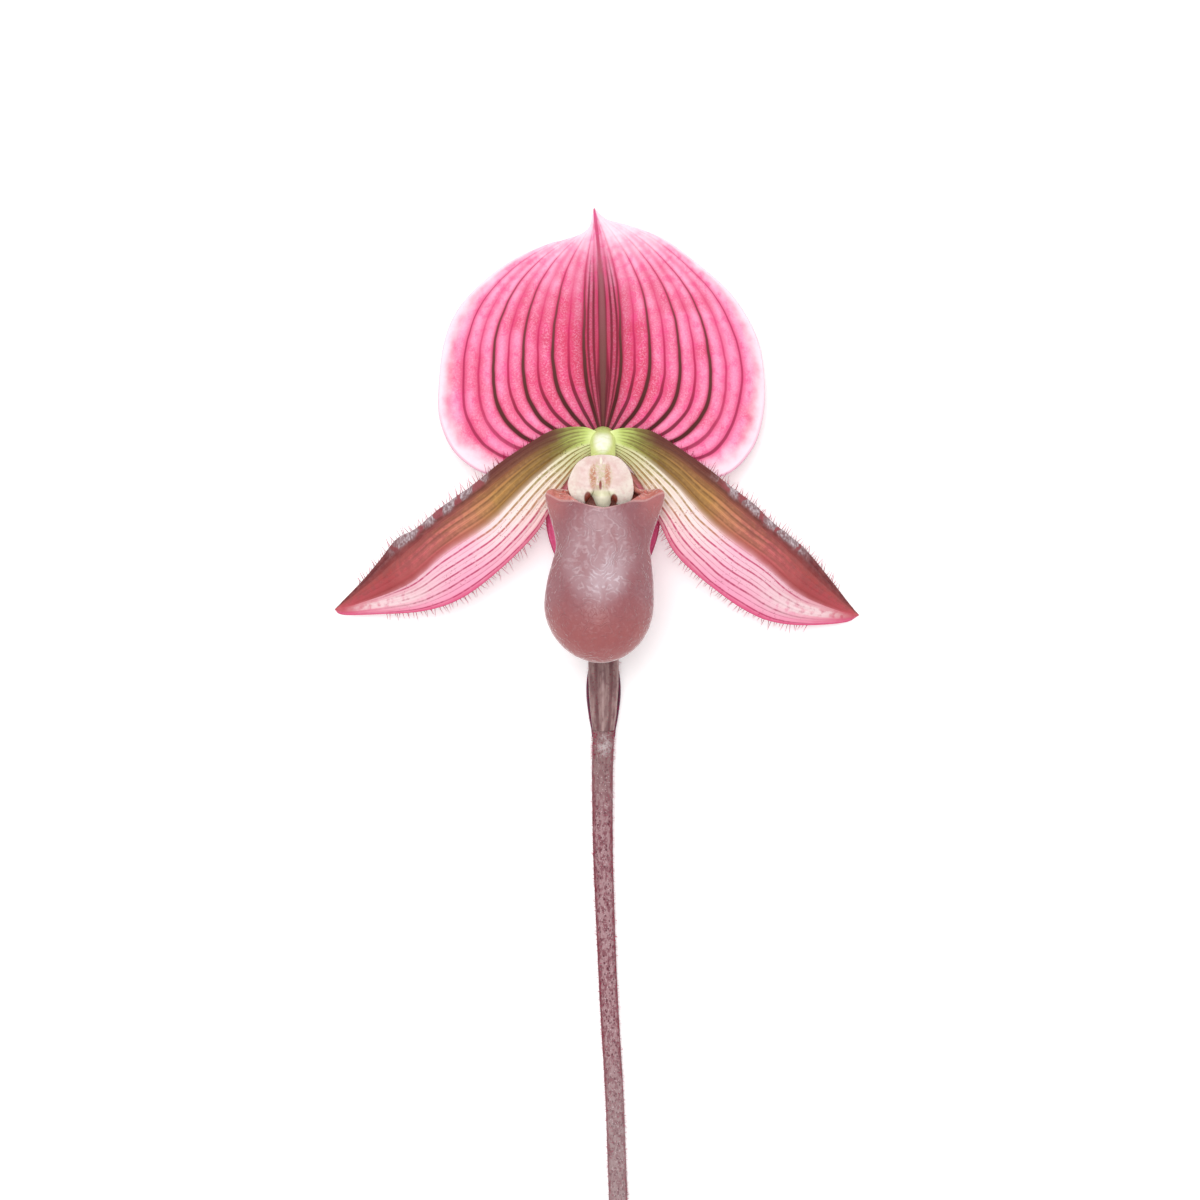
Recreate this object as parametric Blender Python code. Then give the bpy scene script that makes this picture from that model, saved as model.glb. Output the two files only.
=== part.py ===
"""A cut slipper orchid, sold as cypripedium, lying on its back.

The stalk lies along -Y, the large dorsal sepal points along +Y and the flower faces up, +Z.
The surface that it lies on is z = 0. Shapes are worked out in millimetres and stored in metres.
"""

import bpy
import bmesh
from math import cos, sin, pi, sqrt, radians, degrees, hypot
from mathutils import Vector

MM = 0.001

# Clearances and thicknesses
GAP = 0.3
BLADE = 0.8
POUCH_WALL = 0.8
BRACT_WALL = 0.7
WELD = 1e-6
TANGENT_STEP = 0.01

# How finely each form is divided, across and along
DORSAL_GRID = (26, 26)
SYNSEPAL_GRID = (8, 14)
PETAL_GRID = (10, 30)
POUCH_GRID = (36, 20)
STAMINODE_GRID = (48, 5)
BRACT_GRID = (10, 10)
COLUMN_GRID = (20, 10)
CLEARANCE_GRID = (24, 10)
OVARY_GRID = (24, 30)
STEM_GRID = (16, 24)
STIGMA_GRID = (14, 9)
ANTHER_GRID = (12, 8)

# Heights of the whorls where they meet the column
OVARY_TOP = 13.0
DORSAL_BASE = 15.3
SYNSEPAL_BASE = 13.75
PETAL_BASE = 16.9

# Dorsal sepal: each edge from its foot round the lower lobe to the apex
DORSAL_LEFT = [
    (-2.0, -1.5), (-13.0, -6.0), (-21.5, -6.6), (-27.6, -3.0), (-30.8, 3.0), (-31.3, 9.5),
    (-30.0, 19.5), (-26.4, 26.6), (-19.0, 33.2), (-10.5, 37.4), (-4.6, 38.3), (-2.5, 40.3),
    (-1.7, 44.3),
]
DORSAL_RIGHT = [
    (2.0, -1.5), (13.0, -6.2), (22.5, -6.9), (28.2, -2.0), (30.5, 5.0), (30.6, 13.0),
    (29.0, 20.3), (24.6, 27.6), (18.3, 33.4), (11.5, 38.4), (5.0, 40.9), (0.8, 41.9),
    (-1.7, 44.3),
]
DORSAL_MIDRIB = [(0.0, 0.6), (0.0, 14.0), (-0.2, 27.0), (-1.0, 38.0), (-1.7, 44.3)]
DORSAL_LEAN = 0.362
DORSAL_LEAN_START = 3.0
DORSAL_LEAN_WIDTH = 8.0
DORSAL_SPREAD = 0.0079
APEX_FOLD = 1.3
APEX_FOLD_RISE = 8

# Petals: upper edge, lower edge and midrib, each from the column to the tip
PETAL_EDGES = {
    "left": {
        "upper": [
            (-1.2, 1.6), (-3.4, 2.4), (-6.5, 2.4), (-9.9, 1.7), (-13.9, -0.6), (-19.6, -4.4),
            (-24.9, -8.7), (-31.0, -13.0), (-35.5, -16.8), (-39.2, -18.8), (-42.4, -22.8),
            (-46.0, -27.0), (-51.2, -32.2),
        ],
        "lower": [
            (-1.2, -2.0), (-5.0, -5.0), (-8.0, -9.2), (-10.4, -14.0), (-13.2, -18.3),
            (-19.8, -24.8), (-26.6, -29.9), (-33.6, -32.4), (-42.4, -33.1), (-49.5, -33.2),
            (-51.2, -32.2),
        ],
        "midrib": [
            (-1.2, 0.0), (-7.0, -2.2), (-13.8, -7.5), (-21.6, -15.2), (-30.0, -20.9),
            (-37.0, -27.0), (-45.4, -30.6), (-51.2, -32.2),
        ],
    },
    "right": {
        "upper": [
            (1.2, 1.6), (3.4, 2.2), (6.5, 2.2), (9.8, 1.4), (14.8, -1.8), (19.9, -5.4),
            (23.3, -8.1), (28.4, -11.9), (31.9, -15.4), (37.9, -20.2), (43.0, -26.2),
            (46.8, -31.0), (48.9, -33.3),
        ],
        "lower": [
            (1.2, -2.0), (5.0, -5.0), (8.0, -9.4), (10.6, -15.4), (13.0, -20.5), (16.2, -24.2),
            (21.4, -28.5), (26.6, -32.1), (31.7, -34.4), (38.0, -35.2), (45.8, -34.7),
            (48.9, -33.3),
        ],
        "midrib": [
            (1.2, 0.0), (7.0, -2.4), (13.8, -7.9), (21.6, -16.0), (30.0, -22.5), (37.0, -28.6),
            (44.0, -32.0), (48.9, -33.3),
        ],
    },
}
PETAL_REACH = {"left": 50.4, "right": 48.2}
PETAL_ROLL = 1.5
PETAL_ROLL_STRETCH = 1.05
PETAL_ROLL_FULLNESS = 0.8
PETAL_LOWER_DROP = 1.3
PETAL_WAVE = 0.45
PETAL_WAVES = 3.5

# Synsepal: half width and height along its length
SYNSEPAL_WIDTH = [
    (0.5, 0.9), (-2.0, 1.5), (-4.0, 2.9), (-8.0, 7.4), (-12.0, 10.5), (-16.0, 10.8), (-20.0, 9.9),
    (-24.0, 8.2), (-28.0, 6.0), (-32.0, 3.6), (-35.0, 1.7), (-37.0, 0.0),
]
SYNSEPAL_HEIGHT = [
    (0.5, SYNSEPAL_BASE), (-4.0, 13.3), (-8.0, 12.2), (-12.0, 11.0), (-18.0, 9.6),
    (-26.0, 8.8), (-37.0, 8.8),
]
SYNSEPAL_CUP = 0.6
SYNSEPAL_SPACING = 0.9

# Pouch: the crest is where the wall ends or starts to curl in, by angle from back (-90) to front (90)
POUCH_TOE = -42.3
POUCH_BELLY = -31.0
POUCH_CREST = [
    (-90, -6.0), (-75, -10.8), (-58, -11.6), (-40, -10.7), (0, -10.6), (30, -13.0), (60, -16.2), (90, -17.4),
]
POUCH_CURL = [(-90, 0), (-75, 8), (-58, 50), (-40, 98), (0, 112), (30, 62), (60, 14), (90, 0)]
POUCH_CURL_LENGTH = 4.5
POUCH_CURL_FOLD = 2.2
POUCH_CURL_SHARE = 0.25
STRAIGHT_TURN = 1e-4
POUCH_HALF_WIDTH = [
    (-42.3, 10.3), (-31.0, 10.4), (-27.0, 10.1), (-23.0, 9.4), (-20.3, 8.9), (-17.5, 9.4),
    (-14.0, 10.5), (-11.0, 11.3), (-5.0, 11.4),
]
POUCH_HALF_DEPTH = [(-42.3, 8.4), (-31.0, 8.4), (-25.0, 7.4), (-20.0, 6.3), (-12.0, 5.8), (-5.0, 5.8)]
POUCH_CENTRE_HEIGHT = [(-42.3, 28.0), (-31.0, 26.4), (-20.0, 23.8), (-12.0, 22.5), (-5.0, 22.5)]
POUCH_SWAY = [(-42.3, -0.5), (-31.0, -0.75), (-20.0, 0.0), (-10.0, 0.4), (-5.0, 0.4)]

# Column, staminode and anthers
COLUMN_PATH = [
    (0, 0, OVARY_TOP + GAP), (0, 0, 14.2), (0, -0.5, 16.8), (0, -2.2, 19.6), (0, -3.8, 21.3),
    (0, -4.4, 22.3),
]
COLUMN_RADIUS = [(0, 2.6), (0.5, 2.4), (0.8, 2.35), (1, 2.5)]
COLUMN_GUIDE_DROP = 2.0
STIGMA_CENTRE = (0, -4.6, 19.8)
STIGMA_RADII = (2.3, 1.8, 1.6)
ANTHER_CENTRE = (3.3, -6.2, 22.0)
ANTHER_RADII = (1.0, 1.4, 1.0)
STAMINODE_CENTRE = (-0.5, -7.4)
STAMINODE_OUTLINE = [
    (-3.2, -3.6), (-4.8, -4.8), (-6.0, -7.0), (-6.4, -8.8), (-5.8, -10.6), (-5.0, -11.5),
    (-3.8, -11.9), (-3.5, -10.2), (-2.1, -10.9), (-1.1, -12.1), (-0.6, -12.7), (0.6, -12.7),
    (1.2, -11.9), (2.0, -11.0), (2.6, -10.9), (2.8, -12.2), (3.9, -12.0), (5.1, -11.3),
    (5.5, -9.6), (5.2, -7.2), (4.2, -5.1), (2.6, -3.6), (0.0, -3.2),
]
STAMINODE_HEIGHT = 24.7
STAMINODE_DOME = 1.3
STAMINODE_WALL = 1.0

# Ovary, bract and stem
OVARY_PATH = [
    (0, 0, OVARY_TOP), (0, 0, 12.2), (0, -0.8, 9.6), (0, -3.4, 6.7), (0, -8.5, 4.4), (0, -16, 3.1),
    (0, -25, 2.95), (0.05, -34, 3.7), (0.1, -40, 4.4), (0.1, -47, 4.5), (0.1, -52, 4.15),
    (0.1, -55, 3.6),
]
OVARY_RADIUS = [(0, 3.0), (0.3, 3.0), (0.7, 3.0), (0.86, 2.95), (0.94, 2.6), (1, 2.15)]
OVARY_RIBS = 6
OVARY_RIB_SHARE = 0.06
OVARY_HALVINGS = 30
BRACT_SLACK = 0.12
BRACT_BASE = -56.6
BRACT_TIP = -39.0
BRACT_HALF_WRAP = [(0, 42), (0.2, 50), (0.5, 54), (0.8, 38), (1, 0)]
STEM_TOP = -55.3
STEM_END = -169.4
STEM_LINE = [
    (0.1, STEM_TOP), (-0.1, -64), (0, -78), (0.3, -87), (1.1, -106), (2.2, -125), (2.75, -140),
    (3.9, STEM_END),
]
STEM_RADIUS = [(STEM_END, 1.85), (-140, 1.78), (-100, 1.76), (-78, 1.9), (-64, 2.0), (STEM_TOP, 2.05)]
STEM_SINK = 0.95
STEM_LIFT = [(STEM_END, 0), (-90, 0), (-75, 0.1), (-64, 0.9), (STEM_TOP, 1.45)]


def clear_scene():
    for obj in list(bpy.data.objects):
        bpy.data.objects.remove(obj, do_unlink=True)


def material(name, colour, roughness):
    made = bpy.data.materials.new(name)
    made.use_nodes = True
    shader = made.node_tree.nodes["Principled BSDF"]
    shader.inputs["Base Color"].default_value = (*colour, 1.0)
    shader.inputs["Roughness"].default_value = roughness
    shader.inputs["Metallic"].default_value = 0.0
    return made


def curve_through(points, steps=10):
    """A function of t, 0 to 1 by length, along a smooth curve through the points."""
    points = [Vector(p) for p in points]
    row = [2 * points[0] - points[1], *points, 2 * points[-1] - points[-2]]
    dense = []
    for a, b, c, d in zip(row, row[1:], row[2:], row[3:]):
        for k in range(steps):
            s = k / steps
            dense.append(0.5 * (
                2 * b + (c - a) * s + (2 * a - 5 * b + 4 * c - d) * s ** 2
                + (3 * b - a - 3 * c + d) * s ** 3
            ))
    dense.append(points[-1])
    lengths = [0.0]
    for a, b in zip(dense, dense[1:]):
        lengths.append(lengths[-1] + (b - a).length)

    def at(t):
        want = min(max(t, 0.0), 1.0) * lengths[-1]
        i = next((k for k in range(1, len(lengths) - 1) if lengths[k] >= want), len(lengths) - 1)
        share = (want - lengths[i - 1]) / (lengths[i] - lengths[i - 1])
        return dense[i - 1].lerp(dense[i], share)

    return at


def graph_through(stations):
    """A smooth function of x through (x, value) stations."""
    rows = sorted(stations)
    slopes = []
    for i in range(len(rows)):
        a, b = rows[max(i - 1, 0)], rows[min(i + 1, len(rows) - 1)]
        slopes.append((b[1] - a[1]) / (b[0] - a[0]))

    def at(x):
        x = min(max(x, rows[0][0]), rows[-1][0])
        i = next(k for k in range(1, len(rows)) if rows[k][0] >= x)
        (x0, y0), (x1, y1) = rows[i - 1], rows[i]
        width = x1 - x0
        s = (x - x0) / width
        return (
            y0 * (1 + 2 * s) * (1 - s) ** 2 + y1 * s * s * (3 - 2 * s)
            + width * s * (1 - s) * (slopes[i - 1] * (1 - s) - slopes[i] * s)
        )

    return at


def sheet(surface, across, along):
    """A triangulated grid carried onto a surface: u runs -1 to 1 across it, v runs 0 to 1 along it."""
    bm = bmesh.new()
    bmesh.ops.create_grid(bm, x_segments=across, y_segments=along, size=1)
    for vert in bm.verts:
        vert.co = surface(vert.co.x, (vert.co.y + 1) / 2) * MM
    bmesh.ops.remove_doubles(bm, verts=bm.verts, dist=WELD)
    bmesh.ops.dissolve_degenerate(bm, edges=bm.edges, dist=WELD)
    bmesh.ops.triangulate(bm, faces=bm.faces)
    return bm


def add_object(name, bm, colour, roughness=0.5):
    mesh = bpy.data.meshes.new(name)
    bmesh.ops.recalc_face_normals(bm, faces=bm.faces)
    bm.to_mesh(mesh)
    bm.free()
    mesh.shade_smooth()
    obj = bpy.data.objects.new(name, mesh)
    bpy.context.scene.collection.objects.link(obj)
    mesh.materials.append(material(name, colour, roughness))
    return obj


def thicken(obj, thickness, offset=0.0):
    solidify = obj.modifiers.new("Thickness", "SOLIDIFY")
    solidify.thickness = thickness * MM
    solidify.offset = offset
    solidify.use_even_offset = False
    solidify.use_quality_normals = True


def cut(obj, cutter):
    boolean = obj.modifiers.new("Clearance", "BOOLEAN")
    boolean.operation = "DIFFERENCE"
    boolean.object = cutter


def tube(path, radius, sides, rings, lowest=None, ribs=None):
    """A closed tube along a path near the YZ plane. Angles start at its top; lowest flattens it below."""
    at = curve_through(path)

    def ring(u, v):
        centre = at(v)
        along = (at(min(v + TANGENT_STEP, 1)) - at(max(v - TANGENT_STEP, 0))).normalized()
        side = Vector((1, 0, 0))
        side = (side - along * side.dot(along)).normalized()
        up = along.cross(side)
        angle = pi * u + pi / sides
        reach = radius(v) * (1 + (ribs(angle) if ribs else 0))
        point = centre + (side * sin(angle) + up * cos(angle)) * reach
        if lowest is not None:
            point.z = max(point.z, lowest)
        return point

    bm = sheet(ring, sides, rings)
    bmesh.ops.holes_fill(bm, edges=[e for e in bm.edges if e.is_boundary], sides=0)
    bmesh.ops.triangulate(bm, faces=bm.faces)
    return bm


def soft_ramp(x, start, width):
    """0 before start and rising as x after it, with a rounded corner."""
    return (hypot(x - start, width) + x - start) / 2


def blade_between(edges, midrib):
    """The point of a blade at (u, v): u is 1 on the first edge, 0 on the midrib and -1 on the second."""
    first, second, middle = curve_through(edges[0]), curve_through(edges[1]), curve_through(midrib)

    def at(u, v):
        edge = first(v) if u > 0 else second(v)
        return middle(v).lerp(edge, abs(u))

    return at


def dorsal_surface():
    plan = blade_between([DORSAL_RIGHT, DORSAL_LEFT], DORSAL_MIDRIB)
    rise = APEX_FOLD_RISE
    peak = (rise / (rise + 1)) ** rise / (rise + 1)

    def at(u, v):
        x, y = plan(u, v)
        lean = DORSAL_LEAN * soft_ramp(y, DORSAL_LEAN_START, DORSAL_LEAN_WIDTH)
        fold = APEX_FOLD * (1 - abs(u)) * v ** rise * (1 - v) / peak
        z = DORSAL_BASE - lean - DORSAL_SPREAD * x * x + fold
        return Vector((x, y, max(z, BLADE / 2)))

    return at


def petal_surface(side):
    edges = PETAL_EDGES[side]
    plan = blade_between([edges["upper"], edges["lower"]], edges["midrib"])

    def at(u, v):
        x, y = plan(u, v)
        arch = PETAL_BASE * (1 - (abs(x) / PETAL_REACH[side]) ** 2)
        if u > 0:
            swell = sin(pi * min(v * PETAL_ROLL_STRETCH, 1)) ** PETAL_ROLL_FULLNESS
            across = -PETAL_ROLL * swell * u ** 2
        else:
            across = -PETAL_LOWER_DROP * (1 - v) * u * u
        wave = PETAL_WAVE * sin(2 * pi * PETAL_WAVES * v) * u * u * sin(pi * v)
        return Vector((x, y, max(arch + across + wave, BLADE / 2)))

    return at


def synsepal_surface():
    width, height = graph_through(SYNSEPAL_WIDTH), graph_through(SYNSEPAL_HEIGHT)
    foot, tip = SYNSEPAL_WIDTH[0][0], SYNSEPAL_WIDTH[-1][0]

    def at(u, v):
        y = foot + (tip - foot) * sin(pi / 2 * v ** SYNSEPAL_SPACING)
        return Vector((u * width(y), y, height(y) + SYNSEPAL_CUP * u * u))

    return at


def pouch_surface():
    crest, curl = graph_through(POUCH_CREST), graph_through(POUCH_CURL)
    width, depth = graph_through(POUCH_HALF_WIDTH), graph_through(POUCH_HALF_DEPTH)
    height, sway = graph_through(POUCH_CENTRE_HEIGHT), graph_through(POUCH_SWAY)

    def wall(angle, y):
        toe = 1.0
        if y < POUCH_BELLY:
            toe = sqrt(max(0.0, 1 - ((y - POUCH_BELLY) / (POUCH_TOE - POUCH_BELLY)) ** 2))
        return Vector((
            sway(y) + width(y) * toe * cos(angle), y, height(y) + depth(y) * toe * sin(angle)
        ))

    def at(u, v):
        angle = pi * (u + 0.5)
        front = 90 - degrees(abs((angle + pi / 2) % (2 * pi) - pi))
        top = crest(front)
        if v >= POUCH_CURL_SHARE:
            s = (v - POUCH_CURL_SHARE) / (1 - POUCH_CURL_SHARE)
            return wall(angle, top + (POUCH_TOE - top) * sin(pi / 2 * s))
        length = POUCH_CURL_LENGTH * (1 - v / POUCH_CURL_SHARE)
        turn = max(radians(curl(front)), STRAIGHT_TURN)
        bend = POUCH_CURL_FOLD / turn
        phi = min(length / bend, turn)
        beyond = max(length - POUCH_CURL_FOLD, 0)
        inward = -Vector((cos(angle) / width(top), 0, sin(angle) / depth(top))).normalized()
        rise = Vector((0, bend * sin(phi) + beyond * cos(turn), 0))
        return wall(angle, top) + rise + inward * (bend * (1 - cos(phi)) + beyond * sin(turn))

    return at


def staminode_surface():
    outline = curve_through(STAMINODE_OUTLINE + STAMINODE_OUTLINE[:1])
    centre = Vector(STAMINODE_CENTRE)

    def at(u, v):
        x, y = centre.lerp(outline((u + 1) / 2), 1 - v)
        return Vector((x, y, STAMINODE_HEIGHT - STAMINODE_DOME * (1 - v) ** 2))

    return at


def bract_surface():
    path, radius = curve_through(OVARY_PATH), graph_through(OVARY_RADIUS)
    wrap = graph_through(BRACT_HALF_WRAP)
    half = BRACT_WALL / 2

    def share_at(y):
        low, high = 0.0, 1.0
        for _ in range(OVARY_HALVINGS):
            middle = (low + high) / 2
            low, high = (middle, high) if path(middle).y > y else (low, middle)
        return low

    def at(u, v):
        y = BRACT_BASE + (BRACT_TIP - BRACT_BASE) * v
        share = share_at(max(y, OVARY_PATH[-1][1]))
        centre = path(share)
        reach = radius(share) * (1 + OVARY_RIB_SHARE) + GAP + BRACT_SLACK + half
        angle = radians(wrap(v)) * u
        z = centre.z - reach * cos(angle)
        return Vector((centre.x + reach * sin(angle), y, max(z, half)))

    return at


def ellipsoid(centre, radii, segments, rings):
    bm = bmesh.new()
    bmesh.ops.create_uvsphere(bm, u_segments=segments, v_segments=rings, radius=1)
    bmesh.ops.scale(bm, vec=Vector(radii) * MM, verts=bm.verts)
    bmesh.ops.translate(bm, vec=Vector(centre) * MM, verts=bm.verts)
    return bm


def make_guide(name, bm):
    guide = add_object(name, bm, (0.5, 0.5, 0.5))
    guide.hide_render = True
    guide.display_type = "WIRE"
    return guide


def make_column():
    radius = graph_through(COLUMN_RADIUS)
    column = add_object("column", tube(COLUMN_PATH, radius, *COLUMN_GRID), (0.75, 0.80, 0.42))
    stigma = make_guide("stigma_form", ellipsoid(STIGMA_CENTRE, STIGMA_RADII, *STIGMA_GRID))
    union = column.modifiers.new("Stigma", "BOOLEAN")
    union.operation = "UNION"
    union.object = stigma
    low = Vector(COLUMN_PATH[0]) - Vector((0, 0, COLUMN_GUIDE_DROP))
    path = [low, *COLUMN_PATH]
    return make_guide("column_clearance", tube(path, lambda v: radius(v) + GAP, *CLEARANCE_GRID))


def make_flower(clearance):
    blade = sheet(dorsal_surface(), *DORSAL_GRID)
    dorsal = add_object("dorsal_sepal", blade, (0.86, 0.22, 0.42), 0.45)
    blade = sheet(synsepal_surface(), *SYNSEPAL_GRID)
    synsepal = add_object("synsepal", blade, (0.84, 0.25, 0.45), 0.45)
    blades = [dorsal, synsepal]
    for side in ("left", "right"):
        blade = sheet(petal_surface(side), *PETAL_GRID)
        blades.append(add_object("petal_" + side, blade, (0.52, 0.20, 0.16), 0.4))
    for blade in blades:
        thicken(blade, BLADE)
    pouch = add_object("pouch", sheet(pouch_surface(), *POUCH_GRID), (0.42, 0.16, 0.17), 0.38)
    thicken(pouch, POUCH_WALL, offset=-1.0)
    for piece in [*blades, pouch]:
        cut(piece, clearance)
    shield = add_object("staminode", sheet(staminode_surface(), *STAMINODE_GRID), (0.85, 0.66, 0.60), 0.45)
    thicken(shield, STAMINODE_WALL)
    for side, sign in (("left", -1), ("right", 1)):
        x, y, z = ANTHER_CENTRE
        lump = ellipsoid((sign * x, y, z), ANTHER_RADII, *ANTHER_GRID)
        add_object("anther_" + side, lump, (0.80, 0.62, 0.25), 0.6)


def make_stalk():
    def ribs(angle):
        return OVARY_RIB_SHARE * cos(OVARY_RIBS * angle)

    radius = graph_through(OVARY_RADIUS)
    ovary = tube(OVARY_PATH, radius, *OVARY_GRID, lowest=0.0, ribs=ribs)
    add_object("ovary", ovary, (0.36, 0.22, 0.22), 0.55)
    bract = add_object("bract", sheet(bract_surface(), *BRACT_GRID), (0.30, 0.17, 0.18), 0.55)
    thicken(bract, BRACT_WALL)
    thickness, lift = graph_through(STEM_RADIUS), graph_through(STEM_LIFT)
    path = [(x, y, STEM_SINK * thickness(y) + lift(y)) for x, y in STEM_LINE]
    reach = STEM_END - STEM_TOP
    stem = tube(path, lambda v: thickness(STEM_TOP + reach * v), *STEM_GRID, lowest=0.0)
    add_object("stem", stem, (0.36, 0.16, 0.18), 0.55)


def centre_in_frame():
    """Hangs everything on an empty that brings the middle of the whole flower's box over the origin."""
    graph = bpy.context.evaluated_depsgraph_get()
    pieces = [obj for obj in bpy.data.objects if obj.type == "MESH"]
    low, high = Vector((1, 1, 1)), Vector((-1, -1, -1))
    for piece in pieces:
        if piece.hide_render:
            continue
        for corner in piece.evaluated_get(graph).bound_box:
            low = Vector(map(min, low, corner))
            high = Vector(map(max, high, corner))
    frame = bpy.data.objects.new("flower_frame", None)
    bpy.context.scene.collection.objects.link(frame)
    frame.location = (-(low.x + high.x) / 2, -(low.y + high.y) / 2, 0)
    for piece in pieces:
        piece.parent = frame


def main():
    clear_scene()
    make_flower(make_column())
    make_stalk()
    centre_in_frame()


main()
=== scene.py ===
# %% [markdown]
# # A cut cypripedium orchid, lying on its back
#
# The solid model gives every piece its place and its main shape. This script loads it as a fixed frame
# and dresses each node: the same surfaces are drawn again much more finely, with ribs, veins, warts and
# hairs, and each gets a finish of its own. The camera looks straight down, as the photograph looks at the
# flower.

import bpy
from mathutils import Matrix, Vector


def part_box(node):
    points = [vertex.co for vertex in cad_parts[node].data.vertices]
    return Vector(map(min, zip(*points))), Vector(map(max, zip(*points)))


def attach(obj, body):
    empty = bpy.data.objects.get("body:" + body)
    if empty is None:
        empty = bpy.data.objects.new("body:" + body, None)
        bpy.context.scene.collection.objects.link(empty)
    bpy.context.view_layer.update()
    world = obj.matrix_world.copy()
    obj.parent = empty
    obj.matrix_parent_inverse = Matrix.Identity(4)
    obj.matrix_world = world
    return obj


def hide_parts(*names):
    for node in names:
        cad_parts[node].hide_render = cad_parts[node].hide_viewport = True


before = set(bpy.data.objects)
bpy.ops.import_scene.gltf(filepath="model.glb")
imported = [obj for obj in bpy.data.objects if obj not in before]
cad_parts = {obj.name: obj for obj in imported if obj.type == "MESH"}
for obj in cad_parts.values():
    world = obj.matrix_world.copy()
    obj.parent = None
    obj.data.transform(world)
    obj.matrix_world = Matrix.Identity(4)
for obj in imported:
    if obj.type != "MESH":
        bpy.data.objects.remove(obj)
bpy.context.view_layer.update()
print("frame:", len(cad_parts), "nodes")

# %% [markdown]
# ## The flower's own coordinates
#
# All shapes are written in millimetres from the point where sepals and petals meet, with the dorsal sepal
# along +Y and the flower facing up. One shift carries them into the frame. It is read from the two
# anthers, because they lie side by side of that point, so the pieces stay with the solids if those are
# moved.

# %% Units and the shift into the frame
from bisect import bisect_left
from functools import lru_cache
from math import cos, degrees, exp, hypot, pi, radians, sin, sqrt
from random import Random

import bmesh
import bpy
from mathutils import Matrix, Vector, noise

MM = 0.001
ANTHER = Vector((0, -6.2, 22))
corners = [*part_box("anther_left"), *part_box("anther_right")]
ORIGIN = sum(corners, Vector()) / 4 - ANTHER * MM
ORIGIN.z = 0
print("flower's middle in the frame, mm:", [round(c / MM, 2) for c in ORIGIN])


def in_frame(point):
    """A point of the flower, in millimetres, as a place in the frame, in metres."""
    return ORIGIN + Vector(point) * MM


# %% [markdown]
# ## Smooth lines through a few points
#
# A petal's edge is a free curve. It could be drawn as a Bezier object, but a function is easier to reuse:
# `curve_through` gives the point at any share of its length, and `graph_through` gives a smooth value
# between a few stations, such as the half width of the pouch at each height.

# %% Curves and graphs
def curve_through(points, steps=14):
    points = [Vector(p) for p in points]
    row = [2 * points[0] - points[1], *points, 2 * points[-1] - points[-2]]
    dense = []
    for a, b, c, d in zip(row, row[1:], row[2:], row[3:]):
        for k in range(steps):
            s = k / steps
            dense.append(0.5 * (2 * b + (c - a) * s + (2 * a - 5 * b + 4 * c - d) * s ** 2
                                + (3 * b - a - 3 * c + d) * s ** 3))
    dense.append(points[-1])
    lengths = [0]
    for a, b in zip(dense, dense[1:]):
        lengths.append(lengths[-1] + (b - a).length)

    @lru_cache(maxsize=None)
    def at(t):
        want = min(max(t, 0), 1) * lengths[-1]
        i = min(max(bisect_left(lengths, want), 1), len(lengths) - 1)
        return dense[i - 1].lerp(dense[i], (want - lengths[i - 1]) / (lengths[i] - lengths[i - 1]))

    return at


def graph_through(stations):
    rows = sorted(stations)
    places = [x for x, _ in rows]
    slopes = []
    for i in range(len(rows)):
        a, b = rows[max(i - 1, 0)], rows[min(i + 1, len(rows) - 1)]
        slopes.append((b[1] - a[1]) / (b[0] - a[0]))

    @lru_cache(maxsize=None)
    def at(x):
        x = min(max(x, places[0]), places[-1])
        i = min(max(bisect_left(places, x), 1), len(rows) - 1)
        (x0, y0), (x1, y1) = rows[i - 1], rows[i]
        width = x1 - x0
        s = (x - x0) / width
        return (y0 * (1 + 2 * s) * (1 - s) ** 2 + y1 * s * s * (3 - 2 * s)
                + width * s * (1 - s) * (slopes[i - 1] * (1 - s) - slopes[i] * s))

    return at


def step(x, low, high):
    """0 below low, 1 above high and smooth between."""
    s = min(max((x - low) / (high - low), 0), 1)
    return s * s * (3 - 2 * s)


# %% [markdown]
# ## From a surface to a leaf
#
# A leaf, a petal and the pouch are all sheets: a grid of small faces carried onto a curved surface and
# given a thickness. The grid comes from `create_grid`. Its own two directions, u across and v along, are
# kept as a UV map, because veins follow the leaf and not the room. Solidify makes the sheet a closed
# form, and a vertex group thins it towards its margins, as on a real petal.

# %% A grid on a surface
BLADE = 0.8
MERGE = 1e-7


def sheet(surface, across, along):
    bm = bmesh.new()
    bmesh.ops.create_grid(bm, x_segments=across, y_segments=along, size=1)
    grid = bm.loops.layers.uv.new("grid")
    for face in bm.faces:
        for loop in face.loops:
            loop[grid].uv = ((loop.vert.co.x + 1) / 2, (loop.vert.co.y + 1) / 2)
    share = bm.verts.layers.float.new("share")
    for vert in bm.verts:
        u, v = vert.co.x, (vert.co.y + 1) / 2
        vert[share] = margin_share(u, v)
        vert.co = in_frame(surface(u, v))
    bmesh.ops.remove_doubles(bm, verts=bm.verts, dist=MERGE)
    bmesh.ops.recalc_face_normals(bm, faces=bm.faces)
    return bm


def margin_share(u, v):
    """How thick a blade is, as a share: full inside and thin at its margins and tip."""
    return max(0.02, min(1, 5 * (1 - abs(u)) + 0.02, 9 * (1 - v) + 0.02))


def object_from(bm, name, paint):
    mesh = bpy.data.meshes.new(name)
    bm.to_mesh(mesh)
    bm.free()
    mesh.materials.append(paint.material)
    obj = bpy.data.objects.new(name, mesh)
    bpy.context.scene.collection.objects.link(obj)
    print(name, len(mesh.polygons), "faces")
    return obj


def piece_from(bm, name, paint, slot, *nodes):
    """A finished object that rides on the flower and stands for the CAD nodes named."""
    obj = object_from(bm, name, paint)
    obj.data.shade_smooth()
    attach(obj, "root")
    if nodes:
        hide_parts(*nodes)
    return obj


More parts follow.
